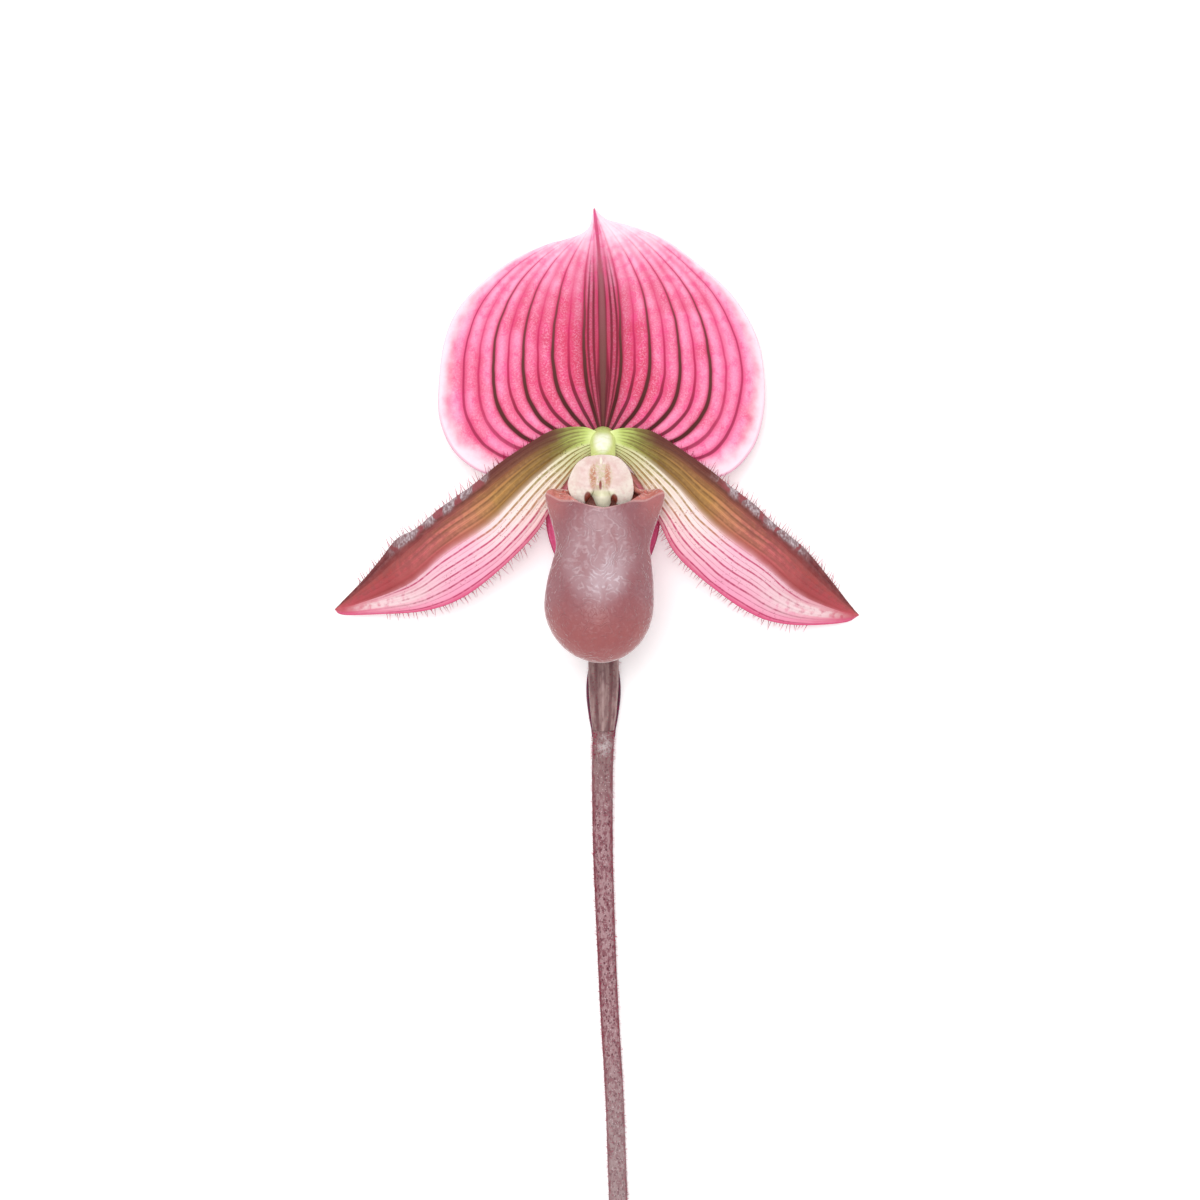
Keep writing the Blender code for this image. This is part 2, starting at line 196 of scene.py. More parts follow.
def thicken(obj, thickness, offset=0, thinnest=1):
    """Gives a sheet its thickness, down to the share thinnest at its margins."""
    group = obj.vertex_groups.new(name="thickness")
    for index, share in enumerate(obj.data.attributes["share"].data):
        group.add([index], share.value, "REPLACE")
    wall = obj.modifiers.new("Thickness", "SOLIDIFY")
    wall.thickness = thickness * MM
    wall.offset = offset
    wall.use_even_offset = False
    wall.use_quality_normals = True
    if thinnest < 1:
        wall.vertex_group = "thickness"
        wall.thickness_vertex_group = thinnest


# %% [markdown]
# ## Shaders written as sums
#
# A finish is worked out from places and patterns. Node by node that is long to read, so one small class
# wraps a number socket and lets ordinary signs add the Math nodes. `Paint` holds one material, and its
# `node` makes any other kind of node. It is used like a painter's palette: a ground coat first, then one
# tone over the other, each as strong as a number says. Tones are written as screen colours. They go
# through Mix nodes and never through Math, which would turn them grey.

# %% A number socket that can be reckoned with
def signed(operation, turned=False):
    """A method that adds one Math node, to stand behind a Python sign."""
    def method(self, value):
        return self.paint.math(operation, *((value, self) if turned else (self, value)))

    return method


class Number:
    """A number socket of one material."""

    def __init__(self, paint, socket):
        self.paint, self.socket = paint, socket

    __add__ = __radd__ = signed("ADD")
    __sub__, __rsub__ = signed("SUBTRACT"), signed("SUBTRACT", turned=True)
    __mul__ = __rmul__ = signed("MULTIPLY")
    __truediv__, __pow__ = signed("DIVIDE"), signed("POWER")

    def __abs__(self):
        return self.paint.math("ABSOLUTE", self)

    def other(self, index):
        """Another output of the node that this number comes from."""
        return Number(self.paint, self.socket.node.outputs[index])

    def rise(self, low, high):
        """0 below low and 1 above high, with soft ends."""
        return self.paint.node("MapRange", {"interpolation_type": "SMOOTHSTEP"}, {0: self, 1: low, 2: high})

    def fall(self, low, high):
        """1 below low and 0 above high."""
        return 1 - self.rise(low, high)

    def sine(self):
        return self.paint.math("SINE", self)

    def from_whole(self):
        """How far the number is from the nearest whole one, 0 to 0.5."""
        return abs(self.paint.math("FRACT", self + 0.5) - 0.5)

    def stripe(self, half, soft):
        """1 on every whole number, fading out from half to half + soft away from it."""
        return self.from_whole().fall(half, half + soft)

    def ramp(self, stops):
        """A colour for each number from 0 to 1."""
        return self.paint.node("ValToRGB", {"stops": stops}, {0: self})


# %% Screen colours
def light(tone):
    """A screen colour, 0 to 255, as the light values of a shader. A link stays as it is."""
    if isinstance(tone, Number):
        return tone
    parts = [c / 255 for c in tone]
    return (*[c / 12.92 if c < 0.04045 else ((c + 0.055) / 1.055) ** 2.4 for c in parts], 1)


# %% One material, painted tone over tone
class Paint:
    def __init__(self, name, gloss, rough=None, **constants):
        self.material = bpy.data.materials.new(name)
        self.material.use_nodes = True
        self.tree = self.material.node_tree
        self.shader = self.tree.nodes["Principled BSDF"]
        self.tone = None
        self.shader.inputs["Specular IOR Level"].default_value = gloss
        if rough is not None:
            self.shader.inputs["Roughness"].default_value = rough
        for socket, value in constants.items():
            self.shader.inputs[socket.replace("_", " ")].default_value = value

    def node(self, kind, settings=None, sockets=None, out=0):
        made = self.tree.nodes.new("ShaderNode" + kind)
        for key, value in (settings or {}).items():
            if key == "stops":
                self.fill_ramp(made.color_ramp, value)
            else:
                setattr(made, key, value)
        for key, value in (sockets or {}).items():
            if isinstance(value, Number):
                self.tree.links.new(value.socket, made.inputs[key])
            else:
                made.inputs[key].default_value = value
        return Number(self, made.outputs[out])

    def fill_ramp(self, ramp, stops):
        while len(ramp.elements) < len(stops):
            ramp.elements.new(0.5)
        for element, (place, tone) in zip(ramp.elements, sorted(stops)):
            element.position = place
            element.color = light(tone)

    def math(self, operation, a, b=0):
        return self.node("Math", {"operation": operation}, {0: a, 1: b})

    def mix(self, share, a, b):
        """Colour a where share is 0 and colour b where it is 1."""
        return self.node("Mix", {"data_type": "RGBA"}, {0: share, 6: light(a), 7: light(b)}, out=2)

    def ground(self, share, a, b):
        """The first coat."""
        self.tone = self.mix(share, a, b)

    def over(self, share, tone):
        """Lays a tone over what is painted so far, as strongly as share says."""
        self.tone = self.mix(share, self.tone, tone)

    def texture(self, kind, stretch, **sockets):
        spot = self.node("Mapping", None, {0: self.millimetres(), 3: stretch})
        return self.node(kind, None, {0: spot, **sockets})

    def grain(self, scale, detail=3, roughness=0.5, stretch=(1, 1, 1)):
        """Noise from 0 to 1 whose lumps are about 1 / scale millimetres wide."""
        return self.texture("TexNoise", stretch, Scale=scale, Detail=detail, Roughness=roughness)

    def patches(self, low, high, scale, *more):
        """Soft-edged patches: 1 where the grain is above high and 0 where it is below low."""
        return self.grain(scale, *more).rise(low, high)

    def cells(self, scale, stretch=(1, 1, 1)):
        """The distance to the nearest of many scattered dots, for round spots."""
        return self.texture("TexVoronoi", stretch, Scale=scale)

    def millimetres(self):
        """The place on the flower, in its own millimetres."""
        place = self.node("TexCoord", out=3)
        moved = self.node("VectorMath", {"operation": "SUBTRACT"}, {0: place, 1: ORIGIN})
        return self.node("VectorMath", {"operation": "SCALE"}, {0: moved, 3: 1 / MM})

    def place(self):
        """x, y and z in those millimetres."""
        x = self.node("SeparateXYZ", None, {0: self.millimetres()})
        return x, x.other(1), x.other(2)

    def grid(self):
        """u from -1 to 1 across the blade and v from 0 to 1 along it."""
        x = self.node("SeparateXYZ", None, {0: self.node("UVMap", {"uv_map": "grid"})})
        return x * 2 - 1, x.other(1)

    def spot(self, centre, radii, soft=0.4):
        """1 inside an oval round a place and 0 outside it."""
        x, y, _ = self.place()
        far = ((x - centre[0]) / radii[0]) ** 2 + ((y - centre[1]) / radii[1]) ** 2
        return far.fall(1 - soft, 1 + soft)

    def done(self, rough=None, height=None, depth=0.05):
        """Links the colour, the roughness and a bump whose full height is depth millimetres."""
        shader = self.shader
        self.tree.links.new(self.tone.socket, shader.inputs["Base Color"])
        if rough is not None:
            self.tree.links.new(rough.socket, shader.inputs["Roughness"])
        if height is not None:
            bump = self.node("Bump", None, {"Height": height, "Distance": depth * MM})
            self.tree.links.new(bump.socket, shader.inputs["Normal"])
        return self


# %% [markdown]
# ## Dorsal sepal: the form
#
# The large upright sepal is a broad hood with a pinched tip. Its two edges and its midrib are curves, and
# every point lies between midrib and edge. Near the margin it follows the edge exactly. Further in it
# follows a softened copy, so that the veins run smoothly past the bends of the edge. The blade swells a
# third of a millimetre between the veins, because a real sepal is almost smooth to the touch.

# %% Dorsal sepal
DORSAL_LEFT = [
    (-2, -1.5), (-13, -6), (-21.5, -6.6), (-27.6, -3), (-30.8, 3), (-31.3, 9.5), (-30, 19.5),
    (-26.4, 26.6), (-19, 33.2), (-10.5, 37.4), (-4.6, 38.3), (-2.5, 40.3), (-1.7, 44.3),
]
DORSAL_RIGHT = [
    (2, -1.5), (13, -6.2), (22.5, -6.9), (28.2, -2), (30.5, 5), (30.6, 13), (29, 20.3), (24.6, 27.6),
    (18.3, 33.4), (11.5, 38.4), (5, 40.9), (0.8, 41.9), (-1.7, 44.3),
]
DORSAL_MIDRIB = [(0, 0.6), (0, 14), (-0.2, 27), (-1, 38), (-1.7, 44.3)]
DORSAL_FOOT = 15.3
LEAN, LEAN_START, LEAN_BEND = 0.362, 3, 8
SIDE_DROOP = 0.0079
TIP_FOLD, VEIN_SWELL, KEEL, CRINKLE = 1.3, 0.34, 0.45, 0.16
VEIN_PITCH, VEIN_START = 0.185, 0.3


def softened(curve, reach=0.13):
    """The same curve with its bends evened out: the mean of five places, which close up at its ends."""
    def at(v):
        near = min(reach, v, (1 - v) / 3)
        return sum((curve(v + near * k / 2) for k in (-2, -1, 0, 1, 2)), Vector((0, 0))) / 5

    return at


def blade_between(edges, midrib):
    (first, soft_first), (second, soft_second) = [(e, softened(e)) for e in map(curve_through, edges)]
    middle = curve_through(midrib)

    def at(u, v):
        edge, soft = (first, soft_first) if u > 0 else (second, soft_second)
        return middle(v).lerp(soft(v).lerp(edge(v), abs(u) ** 6), abs(u))

    return at


def dorsal_surface():
    plan = blade_between([DORSAL_RIGHT, DORSAL_LEFT], DORSAL_MIDRIB)
    peak = (8 / 9) ** 8 / 9

    def at(u, v):
        x, y = plan(u, v)
        past = y - LEAN_START
        lean = LEAN * (hypot(past, LEAN_BEND) + past) / 2
        fold = TIP_FOLD * (1 - abs(u)) * v ** 8 * (1 - v) / peak
        between = 0.5 - 0.5 * cos(2 * pi * (abs(u) / VEIN_PITCH + VEIN_START))
        inside = step(v, 0.05, 0.3) * step(1 - v, 0.02, 0.3) * step(1 - abs(u), 0, 0.15)
        keel = KEEL * exp(-(u / 0.05) ** 2) * step(v, 0.1, 0.5)
        crinkle = CRINKLE * noise.noise(Vector((x * 0.35, y * 0.22, 0))) * step(v, 0.1, 0.3)
        z = DORSAL_FOOT - lean - SIDE_DROOP * x * x
        z += fold + VEIN_SWELL * between * inside + keel + crinkle
        return (x, y, max(z, BLADE / 2))

    return at


# %% [markdown]
# ## Dorsal sepal: the finish
#
# Pink with a white margin, and striped by maroon veins that turn magenta as they rise. The pattern could
# be an image, but a formula stays sharp: a coordinate that is whole on every main vein is taken from u,
# and stripes of it are as wide as the veins are. Finer veins lie half way between.

# %% Sepal: the ground
def sepal_ground(paint, side, v, ridge):
    """Deep pink by the midrib and the veins, partly painted shade beside them, lighter outside and above,
    dusky in the middle.
    """
    patchy = paint.grain(0.16, 2) - 0.5
    paint.ground((side + patchy * 0.9).rise(0.1, 0.8), (212, 82, 116), (246, 140, 180))
    above = (v + patchy * 0.35).rise(0.46, 0.9)
    paint.over(above * 0.85, (248, 176, 208))
    # painted shade: deeper pink beside the main and fine veins, fading out on the strips between them
    paint.over((1 - ridge) * (0.6 - above * 0.25), (214, 52, 106))
    paint.over(paint.patches(0.48, 0.66, 0.6, 4) * 0.5, (232, 72, 134))
    paint.over(paint.patches(0.45, 0.6, 0.11, 2) * (1 - above) * 0.4, (206, 60, 90))
    # pale flecks: partly the sepal's own speckle, and, heavier on the strips between the veins, painted
    # highlight
    flecks = paint.patches(0.44, 0.66, 3.2, 4, 0.6)
    paint.over(flecks * (ridge * 0.42 + 0.08), (250, 170, 200))
    heart = side.fall(0.05, 0.24) * v.fall(0.5, 0.95)
    paint.over(heart * 0.6, (158, 54, 74))
    dusk = (v + side * 0.6).fall(0.1, 0.5)
    paint.over(dusk * 0.4, (122, 48, 60))


# %% Sepal: the fine veins
def sepal_fine_veins(paint, side, v, between, outside):
    """Dark at the foot and crimson above, with a close set on both sides of the midrib."""
    fine = (between - (1 - v) ** 4 * 0.12 - 0.004).fall(0, 0.036)
    tone = v.ramp([(0.14, (58, 18, 16)), (0.3, (104, 24, 38)), (0.42, (172, 34, 76)),
                   (0.6, (200, 44, 100))])
    paint.over(fine * v.fall(0.45, 0.8) * (0.85 - outside * 0.6),
               paint.mix(outside, tone, (206, 44, 104)))
    close = (side / 0.036 + 0.5).stripe(0.1, 0.24) * side.fall(0.1, 0.15)
    paint.over(close * v.fall(0.6, 0.86) * 0.85, (104, 30, 42))


# %% Sepal: the main veins
def sepal_main_veins(paint, v, away, outside):
    """A soft crimson shade with a thin dark core. The core is also pressed in, so it is given back."""
    half = ((1 - v) ** 3 * 0.11 + 0.01) * (1 - outside * 0.4)
    shade = (away - half).fall(0, 0.13)
    core = ((away - half) * (outside * 0.5 + 1)).fall(0, 0.045)
    shade_tone = v.ramp([(0.15, (102, 22, 28)), (0.4, (160, 34, 62)), (0.75, (210, 50, 106))])
    core_tone = v.ramp([(0.2, (72, 26, 24)), (0.45, (96, 50, 48)), (0.64, (136, 60, 72)),
                        (0.82, (202, 54, 104))])
    core_tone = paint.mix(outside * 0.6, core_tone, (146, 24, 66))
    core_tone = paint.mix(outside * v.rise(0.22, 0.46) * 0.8, core_tone, (176, 34, 84))
    fade = (1 - v.rise(0.58, 0.9) * 0.78) * (1 - outside * 0.25)
    paint.over(shade * fade * (0.6 - outside * 0.3), paint.mix(outside, shade_tone, (214, 60, 118)))
    paint.over(core * fade, core_tone)
    return core


# %% Sepal: midrib, white margin and dark foot
def sepal_midrib(paint, side, v):
    """A grey-brown band that narrows to the pinched tip, and pink blots beside it."""
    rib = (side - (1 - v) ** 2 * 0.012 - 0.008).fall(0, 0.016)
    rib_tone = v.ramp([(0, (92, 44, 38)), (0.35, (112, 70, 66)), (0.7, (146, 84, 92)),
                       (0.86, (190, 60, 100)), (1, (206, 90, 128))])
    paint.over(rib * 0.92, rib_tone)
    blots = paint.patches(0.5, 0.62, 0.4, 3, 0.6) * v.rise(0.72, 0.88)
    paint.over(blots * 0.5, (226, 84, 148))


def sepal_margin(paint, side, v):
    ragged = (paint.grain(0.35, 3) - 0.5) * 0.08
    tip = (v + ragged * 2).rise(0.76, 0.95) * side.rise(0.02, 0.26)
    wide = v.fall(0.12, 0.36) * 0.06
    pale = paint.math("MAXIMUM", (side + wide + ragged).rise(0.9, 1), tip)
    paint.over(pale * 0.88, (254, 230, 240))
    hem = side.rise(0.985, 0.995) * v.fall(0.25, 0.5)
    paint.over(hem * 0.5, (206, 108, 150))
    paint.over(v.fall(0.02, 0.13) * 0.55, (84, 44, 36))


# %% Sepal: the whole finish
def dorsal_paint():
    paint = Paint("pink_veined_sepal", 0.12, 0.55)
    u, v = paint.grid()
    side = abs(u)
    wander = (paint.grain(0.06, 0) - 0.5) * 0.3 + (paint.grain(0.22, 1) - 0.5) * 0.08
    away = (side / VEIN_PITCH + VEIN_START + wander).from_whole()
    between = 0.5 - away
    outside = side.rise(0.72, 0.9)
    sepal_ground(paint, side, v, paint.math("MINIMUM", away, between).rise(0.02, 0.24))
    sepal_fine_veins(paint, side, v, between, outside)
    core = sepal_main_veins(paint, v, away, outside)
    sepal_midrib(paint, side, v)
    sepal_margin(paint, side, v)
    height = paint.grain(1.4, 4) * 0.4 + paint.grain(5, 2) * 0.3 + (1 - core) * 0.3
    return paint.done(paint.patches(0.2, 0.8, 0.8) * 0.16 + 0.42, height, 0.12)


# %% Dorsal sepal: the piece
dorsal = piece_from(sheet(dorsal_surface(), 230, 200), "veined_dorsal_sepal", dorsal_paint(),
                    "dorsal_sepal", "dorsal_sepal")
thicken(dorsal, BLADE, thinnest=0.4)

# %% [markdown]
# ## Synsepal
#
# The two lower sepals have grown together into one small blade behind the pouch. Only its pink margins
# show from the front, each with a dark stripe, but it is whole because the flower is also seen from the
# side. Its half width and its height are graphs over y, and its finish is a plainer one of veins over
# pink.

# %% Synsepal
SYNSEPAL_WIDTH = [
    (0.5, 0.9), (-2, 1.5), (-4, 2.9), (-8, 7.4), (-12, 10.5), (-16, 10.8), (-20, 9.9), (-24, 8.2),
    (-28, 6), (-32, 3.6), (-35, 1.7), (-37, 0),
]
SYNSEPAL_HEIGHT = [(0.5, 13.75), (-4, 13.3), (-8, 12.2), (-12, 11), (-18, 9.6), (-26, 8.8), (-37, 8.8)]
SYNSEPAL_TOP, SYNSEPAL_LENGTH = 0.5, 37.5
SYNSEPAL_CUP, SYNSEPAL_SWELL, SYNSEPAL_RIBS = 0.6, 0.12, 3.5


def synsepal_surface():
    width, height = graph_through(SYNSEPAL_WIDTH), graph_through(SYNSEPAL_HEIGHT)

    def at(u, v):
        y = SYNSEPAL_TOP - SYNSEPAL_LENGTH * sin(pi / 2 * v ** 0.9)
        inside = step(v, 0.1, 0.3) * step(1 - abs(u), 0, 0.2)
        swell = SYNSEPAL_SWELL * cos(2 * pi * abs(u) * SYNSEPAL_RIBS) * inside
        return (u * width(y), y, height(y) + SYNSEPAL_CUP * u * u + swell)

    return at


def synsepal_paint():
    paint = Paint("pink_synsepal", 0.35, 0.5)
    u, v = paint.grid()
    side = abs(u)
    paint.ground(side.rise(0.2, 0.9), (238, 170, 196), (236, 98, 152))
    paint.over(paint.patches(0.42, 0.66, 2.4) * 0.35, (252, 176, 206))
    veins = (side * 5 + (paint.grain(0.4) - 0.5) * 0.3).stripe(0.06, 0.12)
    paint.over(veins * 0.75, (158, 30, 74))
    edge = side.rise(0.86, 0.93) * side.fall(0.95, 0.99)
    paint.over(edge * 0.6, (196, 36, 96))
    paint.over(v.fall(0, 0.2) * 0.8, (196, 204, 132))
    return paint.done(None, paint.grain(1.6, 4), 0.1)


synsepal = piece_from(sheet(synsepal_surface(), 90, 120), "veined_synsepal", synsepal_paint(),
                      "synsepal", "synsepal")
thicken(synsepal, BLADE, thinnest=0.5)

# %% [markdown]
# ## Petals: the form
#
# Each petal hangs in a long arch from the column to a pointed tip that touches the table. The blade rolls
# back a little towards its upper edge. A dark midrib lies in a shallow channel, fine parallel veins stand
# up beside it, and the upper margin carries glossy warts, the marks of this kind of orchid.

# %% Petals
LEFT_UPPER = [
    (-1.2, 1.6), (-3.4, 2.4), (-6.5, 2.4), (-9.9, 1.7), (-13.9, -0.6), (-19.6, -4.4), (-24.9, -8.7),
    (-31, -13), (-35.5, -16.8), (-39.2, -18.8), (-42.4, -22.8), (-46, -27), (-51.2, -32.2),
]
LEFT_LOWER = [
    (-1.2, -2), (-5, -5), (-8, -9.2), (-10.4, -14), (-13.2, -18.3), (-19.8, -24.8), (-26.6, -29.9),
    (-33.6, -32.4), (-42.4, -33.1), (-49.5, -33.2), (-51.2, -32.2),
]
LEFT_MIDRIB = [
    (-1.2, 0), (-7, -2.2), (-13.8, -7.5), (-21.6, -15.2), (-30, -20.9), (-37, -27), (-45.4, -30.6),
    (-51.2, -32.2),
]
RIGHT_UPPER = [
    (1.2, 1.6), (3.4, 2.2), (6.5, 2.2), (9.8, 1.4), (14.8, -1.8), (19.9, -5.4), (23.3, -8.1),
    (28.4, -11.9), (31.9, -15.4), (37.9, -20.2), (43, -26.2), (46.8, -31), (48.9, -33.3),
]
RIGHT_LOWER = [
    (1.2, -2), (5, -5), (8, -9.4), (10.6, -15.4), (13, -20.5), (16.2, -24.2), (21.4, -28.5),
    (26.6, -32.1), (31.7, -34.4), (38, -35.2), (45.8, -34.7), (48.9, -33.3),
]
RIGHT_MIDRIB = [
    (1.2, 0), (7, -2.4), (13.8, -7.9), (21.6, -16), (30, -22.5), (37, -28.6), (44, -32), (48.9, -33.3),
]
PETALS = {
    "left": (LEFT_UPPER, LEFT_LOWER, LEFT_MIDRIB, 50.4),
    "right": (RIGHT_UPPER, RIGHT_LOWER, RIGHT_MIDRIB, 48.2),
}
PETAL_ARCH, UPPER_ROLL, LOWER_ROLL = 16.9, 1.5, 1.3
WAVE, WAVES = 0.45, 3.5
PETAL_RIB, PETAL_CHANNEL, PETAL_VEINS = 0.13, 0.3, 5.4
WART_START, WART_END, WART_INNER = 0.4, 0.72, 0.74
WART_HEIGHT, WART_ROUGHNESS = 0.9, 0.16


def petal_surface(side):
    upper, lower, midrib, reach = PETALS[side]
    plan = blade_between([upper, lower], midrib)

    def at(u, v):
        x, y = plan(u, v)
        arch = PETAL_ARCH * (1 - (abs(x) / reach) ** 2)
        if u > 0:
            across = -UPPER_ROLL * sin(pi * min(v * 1.05, 1)) ** 0.8 * u ** 2
        else:
            across = -LOWER_ROLL * (1 - v) * u * u
        wave = WAVE * sin(2 * pi * WAVES * v) * u * u * sin(pi * v)
        within = step(v, 0.04, 0.2) * step(1 - v, 0, 0.25) * step(1 - abs(u), 0, 0.2)
        ribs = PETAL_RIB * cos(2 * pi * PETAL_VEINS * abs(u)) * within
        channel = -PETAL_CHANNEL * exp(-(u / 0.1) ** 2) * within
        warty = step(u, WART_INNER - 0.05, 0.85) * step(v, WART_START - 0.04, WART_START + 0.04)
        warty *= 1 - step(v, WART_END - 0.06, WART_END + 0.06)
        lumps = max(0, noise.noise(Vector((x * 0.5, y * 0.5, 3))) + 0.25) * WART_HEIGHT
        lumps += WART_ROUGHNESS * noise.noise(Vector((x * 2.2, y * 2.2, 7)))
        z = arch + across + wave + ribs + channel + warty * lumps
        return (x, y, max(z, BLADE / 2))

    return at


# %% [markdown]
# ## Petals: the finish
#
# Above the midrib a petal is green at the column, then olive, then red. Below it the blade is pale, with
# green veins that turn magenta, and the tip is red all over. A ramp along v gives each half its colours
# and stripes across u give the veins. The warts are smoother than the blade, so they catch the light, and
# whitish streaks on them are painted highlight. A whitish streak along the low tip is painted sheen.

# %% Petal: its two halves
UPPER_TONES = [
    (0, (226, 236, 164)), (0.045, (188, 204, 110)), (0.1, (154, 156, 78)), (0.17, (148, 120, 64)),
    (0.28, (180, 138, 80)), (0.38, (200, 150, 88)), (0.5, (212, 136, 110)), (0.64, (200, 104, 106)),
    (0.8, (164, 68, 72)), (0.93, (172, 70, 78)), (1, (188, 84, 92)),
]
LOWER_TONES = [
    (0, (214, 222, 160)), (0.08, (212, 210, 160)), (0.18, (242, 230, 212)), (0.36, (246, 224, 222)),
    (0.54, (238, 186, 204)), (0.7, (230, 184, 196)), (0.85, (218, 150, 162)), (0.95, (194, 88, 100)),
    (1, (188, 84, 92)),
]


def petal_halves(paint, u, v, ragged):
    along = v + ragged
    upper, lower = along.ramp(UPPER_TONES), along.ramp(LOWER_TONES)
    paint.ground((u + ragged * 0.8).rise(-0.15, 0.06), lower, upper)
    glow = (0 - u + ragged).rise(0.35, 0.95) * v.rise(0.14, 0.4)
    paint.over(glow * 0.45, (234, 106, 158))


# %% Petal: veins of the pale half
def pale_half_veins(paint, u, v, ragged, lines, broken):
    """Olive by the midrib and the column, magenta below. The veins are given back for the bump."""
    low = 0 - u
    below = u.fall(-0.1, -0.03)
    fade = below * v.fall(0.72, 0.94)
    width = (1 - v) ** 4 * 0.07
    veins = (lines.from_whole() - width - 0.02).fall(0, 0.07) * (broken * 0.4 + 0.6)
    tone = (v + low * 0.4).ramp([(0, (104, 104, 40)), (0.3, (146, 124, 56)), (0.5, (172, 112, 66)),
                                 (0.6, (190, 34, 94)), (1, (160, 34, 78))])
    paint.over(veins * fade * 0.9, tone)
    second = (lines + 0.5).stripe(0.02, 0.09) * v.rise(0.14, 0.3) * (broken * 0.6 + 0.2)
    paint.over(second * fade * 0.7, tone)
    hem = (low + ragged * 0.5).rise(0.88, 0.99) * v.rise(0.1, 0.3)
    paint.over(hem * 0.75, (204, 44, 102))
    dots = paint.cells(1.9).fall(0.12, 0.24)
    paint.over(dots * fade * paint.patches(0.42, 0.6, 0.25, 2) * 0.8, (150, 56, 72))
    return veins * below


# %% Petal: the dark half
def dark_half(paint, u, v, ragged, lines, broken):
    """Dark lines, redder above, a maroon rim, and a row of dark dots near the column."""
    blush = (u + ragged).rise(0.3, 0.7) * v.rise(0.1, 0.34)
    paint.over(blush * 0.5, (158, 78, 68))
    dark = (lines * 2 * pi + 1.2).sine().rise(-0.2, 0.9) * (broken * 0.4 + 0.6)
    fine = (lines * 5 * pi).sine().rise(0.1, 0.9)
    dark = (dark * 0.5 + fine * 0.22) * u.rise(0.02, 0.1) * v.rise(0.015, 0.06)
    paint.over(dark * v.fall(0.55, 0.85), (88, 56, 28))
    rim = (u + ragged).rise(0.5, 0.86)
    paint.over(rim * v.rise(0.05, 0.16) * 0.85, (88, 32, 38))
    band = abs(u - 0.05).fall(0.03, 0.16)
    band_tone = paint.mix(v.rise(0.36, 0.6), (112, 78, 40), (150, 66, 66))
    paint.over(band * v.rise(0.08, 0.2) * v.fall(0.84, 0.97) * 0.6, band_tone)
    mottled = paint.patches(0.42, 0.62, 0.9, 4, 0.6) * u.rise(0.05, 0.4)
    paint.over(mottled * v.rise(0.4, 0.6) * 0.5, (138, 72, 72))
    row = abs(u).fall(0.04, 0.12) * v.rise(0.035, 0.05) * v.fall(0.12, 0.16)
    paint.over(row * paint.cells(2.4).fall(0.2, 0.34) * 0.85, (70, 48, 30))


# %% Petal: painted sheen of the low tip, and the warts with their painted highlights
def painted_tip_sheen(paint, u, v):
    # painted sheen: a whitish streak of painted highlight along the low tip
    painted_shine = abs(u + 1.05 - v * 0.7).fall(0.06, 0.36) * v.rise(0.6, 0.8)
    painted_shine = painted_shine * v.fall(0.86, 0.99) * paint.patches(0.3, 0.55, 0.8)
    paint.over(painted_shine * 0.75, (238, 216, 218))


def warts(paint, u, v, ragged):
    """Grey patches, with streaks of painted highlight. Given back: where they are, and the streaks on them.
    """
    warty = (u + ragged).rise(WART_INNER, WART_INNER + 0.14)
    warty = warty * (v + ragged).rise(WART_START - 0.06, WART_START + 0.04)
    warty = warty * v.fall(WART_END - 0.04, WART_END + 0.06)
    patches = (v * 78 + paint.grain(0.3, 1) * 9).sine().rise(-0.9, -0.3)
    streaks = paint.patches(0.38, 0.66, 1.5, 4, 0.65, (1.8, 0.8, 1))
    paint.over(warty * 0.65, paint.mix(patches, (164, 84, 92), (112, 74, 78)))
    # painted highlight: whitish streaks on the grey patches
    paint.over(warty * patches * (streaks * 0.62 + 0.12), (220, 206, 212))
    return warty, streaks


# %% Petal: the whole finish
def petal_paint():
    paint = Paint("olive_and_rose_petal", 0.22)
    u, v = paint.grid()
    ragged = (paint.grain(0.4, 3) - 0.5) * 0.1
    lines = u * PETAL_VEINS + (paint.grain(0.1, 1) - 0.5) * 0.4
    broken = paint.patches(0.3, 0.55, 1.1, 3, 0.6)
    petal_halves(paint, u, v, ragged)
    veins = pale_half_veins(paint, u, v, ragged, lines, broken)
    dark_half(paint, u, v, ragged, lines, broken)
    painted_tip_sheen(paint, u, v)
    warty, streaks = warts(paint, u, v, ragged)
    height = paint.grain(1.6, 4) * 0.5 + paint.grain(5, 2) * 0.2 + warty * streaks * 0.6
    return paint.done(0.46 - warty * 0.14, height - veins * 0.3, 0.14)


# %% Petals: the pieces
petal_finish = petal_paint()
for side in ("left", "right"):
    petal = piece_from(sheet(petal_surface(side), 140, 240), "arched_petal_" + side, petal_finish,
                       "petal", "petal_" + side)
    thicken(petal, BLADE, thinnest=0.4)

# %% [markdown]
# ## Pouch: the form
#
# The lip is a hollow slipper with an open mouth whose side lobes curl inwards. Its grid runs round the
# mouth in u and from the rim to the toe in v, so that seam and toe close when the doubled points are
# merged. A quarter of v is the curled lobe: it leaves the wall along a circle, bent by an angle that
# changes round the mouth. The wall's thickness grows inwards, so the outer face stays where the solid's
# is.

